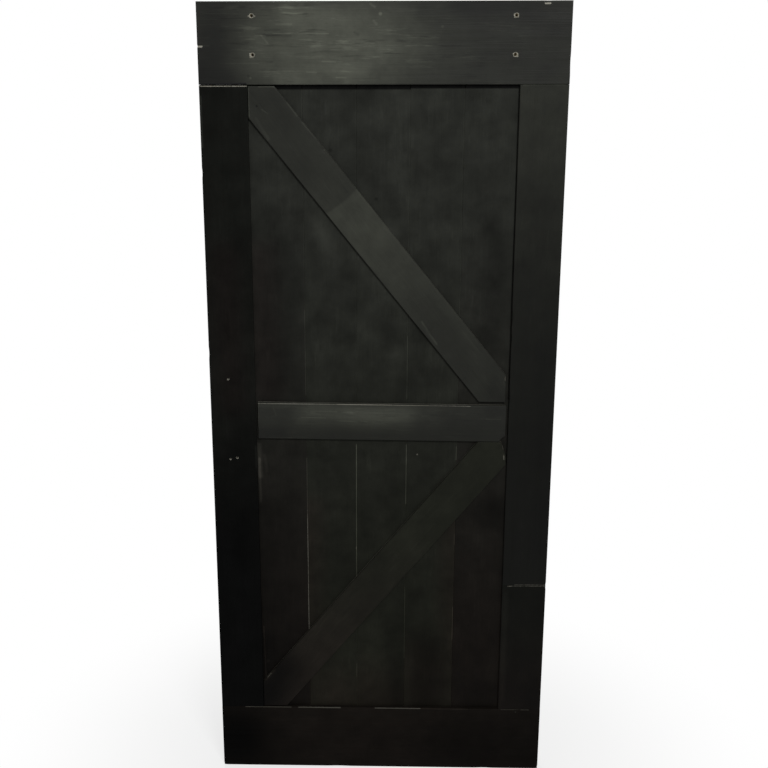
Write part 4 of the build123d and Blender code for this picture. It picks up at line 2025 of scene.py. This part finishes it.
BOARD_MARKS = (
    (
        Stroke((-332, 990), (-330, 900), 10.0, 1.0, soft=0.8),
        Stroke((-332, 950), (-331, 826), 5.5, 1.1, soft=0.8),
        Stroke((-318, 960), (-312, 915), 8.0, 0.5),
        Stroke((-332, 445), (-329, 285), 2.6, 2.6),
        Stroke((-330, 400), (-330, 320), 45, -0.5),
        spot((-322, 335), 7, 1.2),
        Stroke((-203.2, 1363), (-203.2, 1133), 2.4, 0.5),
        Stroke((-203.0, 952), (-203.0, 800), 2.4, 1.2),
        Stroke((-203.0, 800), (-203.0, 429), 2.8, 1.5),
        bare((-203.2, 790), (-203.2, 440), 1.5, 0.6),
        Stroke((-290, 1560), (-290, 1150), 110, -0.42),
        Stroke((-320, 1500), (-310, 1150), 80, 0.7, Touch.WARM),
        Stroke((-300, 800), (-300, 200), 110, -0.35),
    ),
    (
        Stroke((-68.0, 992), (-68.0, 600), 2.8, 2.6),
        Stroke((-68.0, 329), (-68.0, 288), 2.4, 1.2),
        Stroke((-130, 1374), (-67, 1320), 40, 0.3),
        Stroke((-188, 1614), (-107, 1484), 36, 0.3),
        bare((-68, 692), (-68, 686), 3.0, 0.9),
        bare((-68, 604), (-68, 598), 2.4, 0.9),
        spot((-132.7, 1776), 7, -0.4),
        Stroke((-200, 800), (-200, 200), 70, 0.8, Touch.WARM),
        Stroke((-140, 220), (-100, 200), 170, 1.0, Touch.WARM),
        Stroke((-135, 1340), (-100, 1300), 70, -0.25),
        Stroke((-135, 420), (-135, 230), 80, 0.35),
    ),
    (
        Stroke((66.6, 1294), (66.6, 1123), 2.4, 0.7),
        Stroke((66.8, 992), (66.8, 822), 2.6, 2.2),
        Stroke((66.8, 570), (66.8, 349), 2.2, 1.2),
        Stroke((-67, 1320), (33, 1243), 40, 0.3),
        Stroke((0, 1560), (10, 1460), 60, 0.9),
        spot((-17, 1654), 7, -0.4),
        Stroke((60, 330), (60, 200), 60, -0.4),
        Stroke((-40, 220), (40, 200), 190, 1.0, Touch.WARM),
        Stroke((-10, 420), (-10, 330), 70, 0.3),
        spot((0, 1300), 70, -0.2),
    ),
    (
        Stroke((201.4, 988), (201.4, 952), 3.0, 1.4),
        Stroke((201.4, 732), (201.4, 702), 2.4, 1.2),
        Stroke((201.4, 510), (201.4, 410), 2.2, 1.2),
        spot((95.8, 965.6), 3.4, 1.0, Touch.BARE),
        Stroke((135, 380), (135, 190), 90, -0.55),
        spot((140, 1320), 90, -0.3),
        spot((135, 1180), 55, -0.2),
        spot((135, 1500), 60, -0.15),
        Stroke((135, 300), (135, 190), 190, 1.0, Touch.WARM),
        Stroke((200, 850), (200, 200), 70, 0.8, Touch.WARM),
    ),
    (
        Stroke((285, 1560), (285, 1280), 70, -0.3),
        spot((290, 800), 80, -0.45),
        spot((290, 230), 80, -0.35),
        # Painted shadow of the right stile along the panel's right border.
        Stroke((336, 1930), (336, 1125), 4.0, -0.8),
    ),
)


def board_paint(index: int) -> PaintedPine:
    """Paint of one board, by its place from the left.

    It is lighter at the top, nearly black and browner at the foot, and has a painted shadow
    in the corner under the top rail.

    Args:
        index: the board's place, 0 at the left.

    Returns:
        The paint.
    """
    first = node_box("left_stile")[1, 0]
    pitch = -2 * first / Boards.count
    left, top = first + pitch * index, node_box("top_rail")[0, 2] - 4
    # A painted shadow along each board's top, under the top rail, added to the real shadow of the
    # recess.
    shade = 11.0 if index < 3 else 8.0
    recess = Stroke((left, top), (left + pitch, top), shade, -0.96, soft=0.5)
    foot = grey(18, Tint.BROWN) if index in (0, 4) else grey(27, Tint.MOSS)
    return PaintedPine(
        f"worn black paint, board {index + 1}", foot, grey(41, Tint.PLAIN), (350, 1850), 60, 90,
        # edge_gain here is painted light on the V-joints' chamfers, against the shade in the
        # joints.
        specular=0.04, blotches=0.55, mottle=0.65, streaks=0.12, worn=0.0, edge_gain=1.4,
        front=node_box("board_1")[0, 1], strokes=BOARD_MARKS[index] + (recess,),
    )


INFILL_PAINT = {
    "mid_rail": PaintedPine(
        "worn black paint, mid rail", grey(22, Tint.MOSS), grey(33), (1015, 1090), 6,
        specular=0.15, roughness=0.5, blotches=0.35, mottle=0.5, streaks=0.35, scuffs=0.5,
        wood=1.8, edge_gain=0.0,
        strokes=(
            # Painted highlight: these two strokes are a band of sheen just under the top edge.
            Stroke((-200, 1084), (60, 1080), 60, 1.5),
            Stroke((-70, 1082), (20, 1080), 60, 0.2),
            Stroke((190, 1060), (328, 1060), 70, -0.3),
            Stroke((290, 1105), (328, 1100), 40, -0.35),
            Stroke((-331, 1026), (-270, 1026), 36, -0.5),
            Stroke((-331, 1108), (-250, 1108), 16, 0.5),
            Stroke((-300, 1105), (-200, 1104), 2.2, -0.3),
            bare((-331, 1110.6), (-100, 1109.3), 0.9, 0.62),
            bare((-118, 1109.3), (26, 1108), 1.4, 0.9),
            bare((12, 1108), (125, 1107.1), 1.2, 0.72),
            bare((110, 1107.1), (236, 1106), 0.9, 0.6),
            Stroke((-331, 1108), (-331, 1040), 2.0, 1.2),
            Stroke((278, 1070), (316, 1070), 2.6, 1.0),
            Stroke((-190, 1090), (-120, 1089), 2.6, 0.4),
            Stroke((-215, 1072), (-150, 1071), 2.2, 0.4),
            Stroke((-290, 1098), (-283, 1078), 2.4, 0.6),
            Stroke((-120, 1063), (-40, 1062), 2.0, 0.35),
            Stroke((-302, 1015), (-242, 1015), 2.0, 0.8),
        ),
    ),
    "upper_brace": PaintedPine(
        "worn black paint, upper brace", grey(31), grey(51), (1200, 1600), 7,
        specular=0.12, roughness=0.52, blotches=0.4, mottle=0.5, streaks=0.12, scuffs=0.2,
        worn=0.05, wood=0.9, edge_gain=0.0,
        strokes=(
            Stroke((-400, 2015), (-288, 1876), 300, -0.42, soft=0.03),
            Stroke((330, 1100), (300, 1150), 60, -0.35),
            Stroke((-330, 1900), (-200, 1760), 100, -0.15),
            Stroke((110, 1390), (170, 1310), 70, -0.22),
            Stroke((-308, 1932), (-270, 1932), 2.6, 1.5),
            Stroke((-334.5, 1928), (-334.5, 1860), 3.0, 1.5),
            Stroke((-238, 1893), (-215, 1862), 4.0, 1.0),
            Stroke((-202, 1845), (-167, 1805), 3.5, 0.7),
            Stroke((103, 1336), (143, 1276), 4.0, 1.0),
            Stroke((-317, 1855), (-287, 1805), 6.0, 0.5),
            Stroke((-302, 1877), (-287, 1867), 2.2, 1.0),
            bare((325, 1188), (325, 1178), 1.6, 0.8),
            spot((-315, 1885), 4, -0.8),
            spot((-147, 1778), 3, 1.0),
            spot((-127, 1768), 3.5, -0.7),
        ),
    ),
    "lower_brace": PaintedPine(
        "worn black paint, lower brace", grey(27, Tint.BROWN), grey(31, Tint.MOSS), (230, 800), 8,
        specular=0.05, roughness=0.58, mottle=0.5, streaks=0.12, worn=0.0, edge_gain=0.0,
        strokes=(
            bare((328, 968), (329, 956), 2.6, 0.6),
            Stroke((-337, 195), (-290, 310), 120, -0.8),
            spot((-325, 235), 55, -0.35),
            Stroke((-329, 284), (-306, 312), 9.0, 2.8),
            bare((-324, 290), (-315, 302), 4.0, 0.5),
        ),
    ),
}


@dataclass
class Studio:
    """Pale floor, white surroundings, soft lamps and the camera."""

    floor_half: float = 6.0
    floor_colour: Colour = (0.88, 0.88, 0.87)
    floor_speckle: float = 0.97
    floor_grain: Grain = Grain((40, 40, 40), 3.0, 0.5)
    floor_glow: float = 0.7
    floor_fade: Place = (0.3, 1.2)
    white: Colour = (1.0, 1.0, 1.0)
    black: Colour = (0.0, 0.0, 0.0)
    fill: float = 0.2
    lamp_aim: Triple = (0.0, 0.0, 1.2)
    lamp_size: float = 1.0
    key_place: Triple = (0.9, -3.4, 3.7)
    key_power: float = 100.0
    back_place: Triple = (-0.9, 3.4, 3.7)
    back_power: float = 60.0
    camera_place: Triple = (0.0078, -3.0450, 2.0677)
    camera_turn: Triple = (73.529, 0.121, 1.475)
    camera_lens: float = 55.91
    camera_sensor: float = 36.0
    camera_far: float = 100.0
    camera_shift: Place = (0.0380, -0.0026)

    def seen(self, nodes: Nodes) -> Socket:
        """1 for what the camera sees directly, in a reflection or through glass."""
        rays = nodes.add("LightPath", {}).outputs
        seen = nodes.math("MAXIMUM", rays["Is Camera Ray"], rays["Is Glossy Ray"])
        return nodes.math("MAXIMUM", seen, rays["Is Transmission Ray"])

    def floor(self) -> None:
        """Pale floor that looks white, and keeps the leaf's shadow near it."""
        nodes = Nodes(bpy.data.materials.new("pale floor"))
        place = nodes.place()
        grain = self.floor_grain.at(nodes, place)
        low = tuple(value * self.floor_speckle for value in self.floor_colour)
        colour = nodes.mix(grain, solid(low), solid(self.floor_colour))
        far = nodes.span(nodes.length(place), *self.floor_fade)
        white = nodes.math("MULTIPLY_ADD", far, 1 - self.floor_glow, self.floor_glow)
        glow = nodes.math("MULTIPLY", self.seen(nodes), white)
        matte = nodes.add("BsdfDiffuse", {"Color": nodes.mix(glow, colour, solid(self.black))})
        shine = nodes.add("Emission", {"Color": solid(self.white), "Strength": glow})
        both = nodes.add("AddShader", {0: matte.outputs[0], 1: shine.outputs[0]})
        half = self.floor_half
        mesh = bpy.data.meshes.new("floor")
        corners = [(-half, -half, 0), (half, -half, 0), (half, half, 0), (-half, half, 0)]
        mesh.from_pydata(corners, [], [(0, 1, 2, 3)])
        mesh.materials.append(nodes.finish(both))
        floor = bpy.data.objects.new("floor", mesh)
        bpy.context.scene.collection.objects.link(floor)

    def world(self) -> None:
        """White where it is seen, and a dimmer plain fill as light."""
        nodes = Nodes(bpy.data.worlds.new("studio"))
        inputs = {"Value": self.seen(nodes), "To Min": self.fill, "To Max": 1.0}
        strength = nodes.add("MapRange", inputs).outputs[0]
        background = nodes.add("Background", {"Color": solid(self.white), "Strength": strength})
        bpy.context.scene.world = nodes.finish(background, "OutputWorld")

    def lamp(self, name: str, place: Triple, power: float) -> None:
        """A square soft lamp aimed at the leaf.

        Args:
            name: its name.
            place: where it stands, in metres.
            power: in watts.
        """
        light = bpy.data.lights.new(name, "AREA")
        light.shape = "SQUARE"
        light.size = self.lamp_size
        light.energy = power
        lamp = bpy.data.objects.new(name, light)
        way = Vector(self.lamp_aim) - Vector(place)
        turn = way.to_track_quat("-Z", "Y").to_matrix().to_4x4()
        lamp.matrix_world = Matrix.Translation(Vector(place)) @ turn
        bpy.context.scene.collection.objects.link(lamp)

    def camera(self) -> None:
        """Camera at the viewing place, with its picture shifted as the framing needs."""
        data = bpy.data.cameras.new("camera")
        data.lens = self.camera_lens
        data.sensor_fit = "HORIZONTAL"
        data.sensor_width = self.camera_sensor
        data.shift_x, data.shift_y = self.camera_shift
        data.clip_end = self.camera_far
        camera = bpy.data.objects.new("camera", data)
        camera.location = self.camera_place
        camera.rotation_euler = tuple(math.radians(angle) for angle in self.camera_turn)
        bpy.context.scene.collection.objects.link(camera)
        bpy.context.scene.camera = camera

    def build(self) -> None:
        """Sets up everything round the leaf."""
        self.floor()
        self.world()
        self.lamp("key lamp", self.key_place, self.key_power)
        self.lamp("back lamp", self.back_place, self.back_power)
        self.camera()
        bpy.context.scene.view_settings.view_transform = "Standard"
        log.info("studio ready")


def main() -> None:
    """Builds and dresses the leaf part by part, then the studio."""
    logging.basicConfig(level=logging.INFO, format="%(name)s %(message)s")
    Rails().build()
    Stiles().build()
    Boards().build()
    Infill().build()
    Fixings().build()
    Studio().build()


if __name__ == "__main__":
    main()
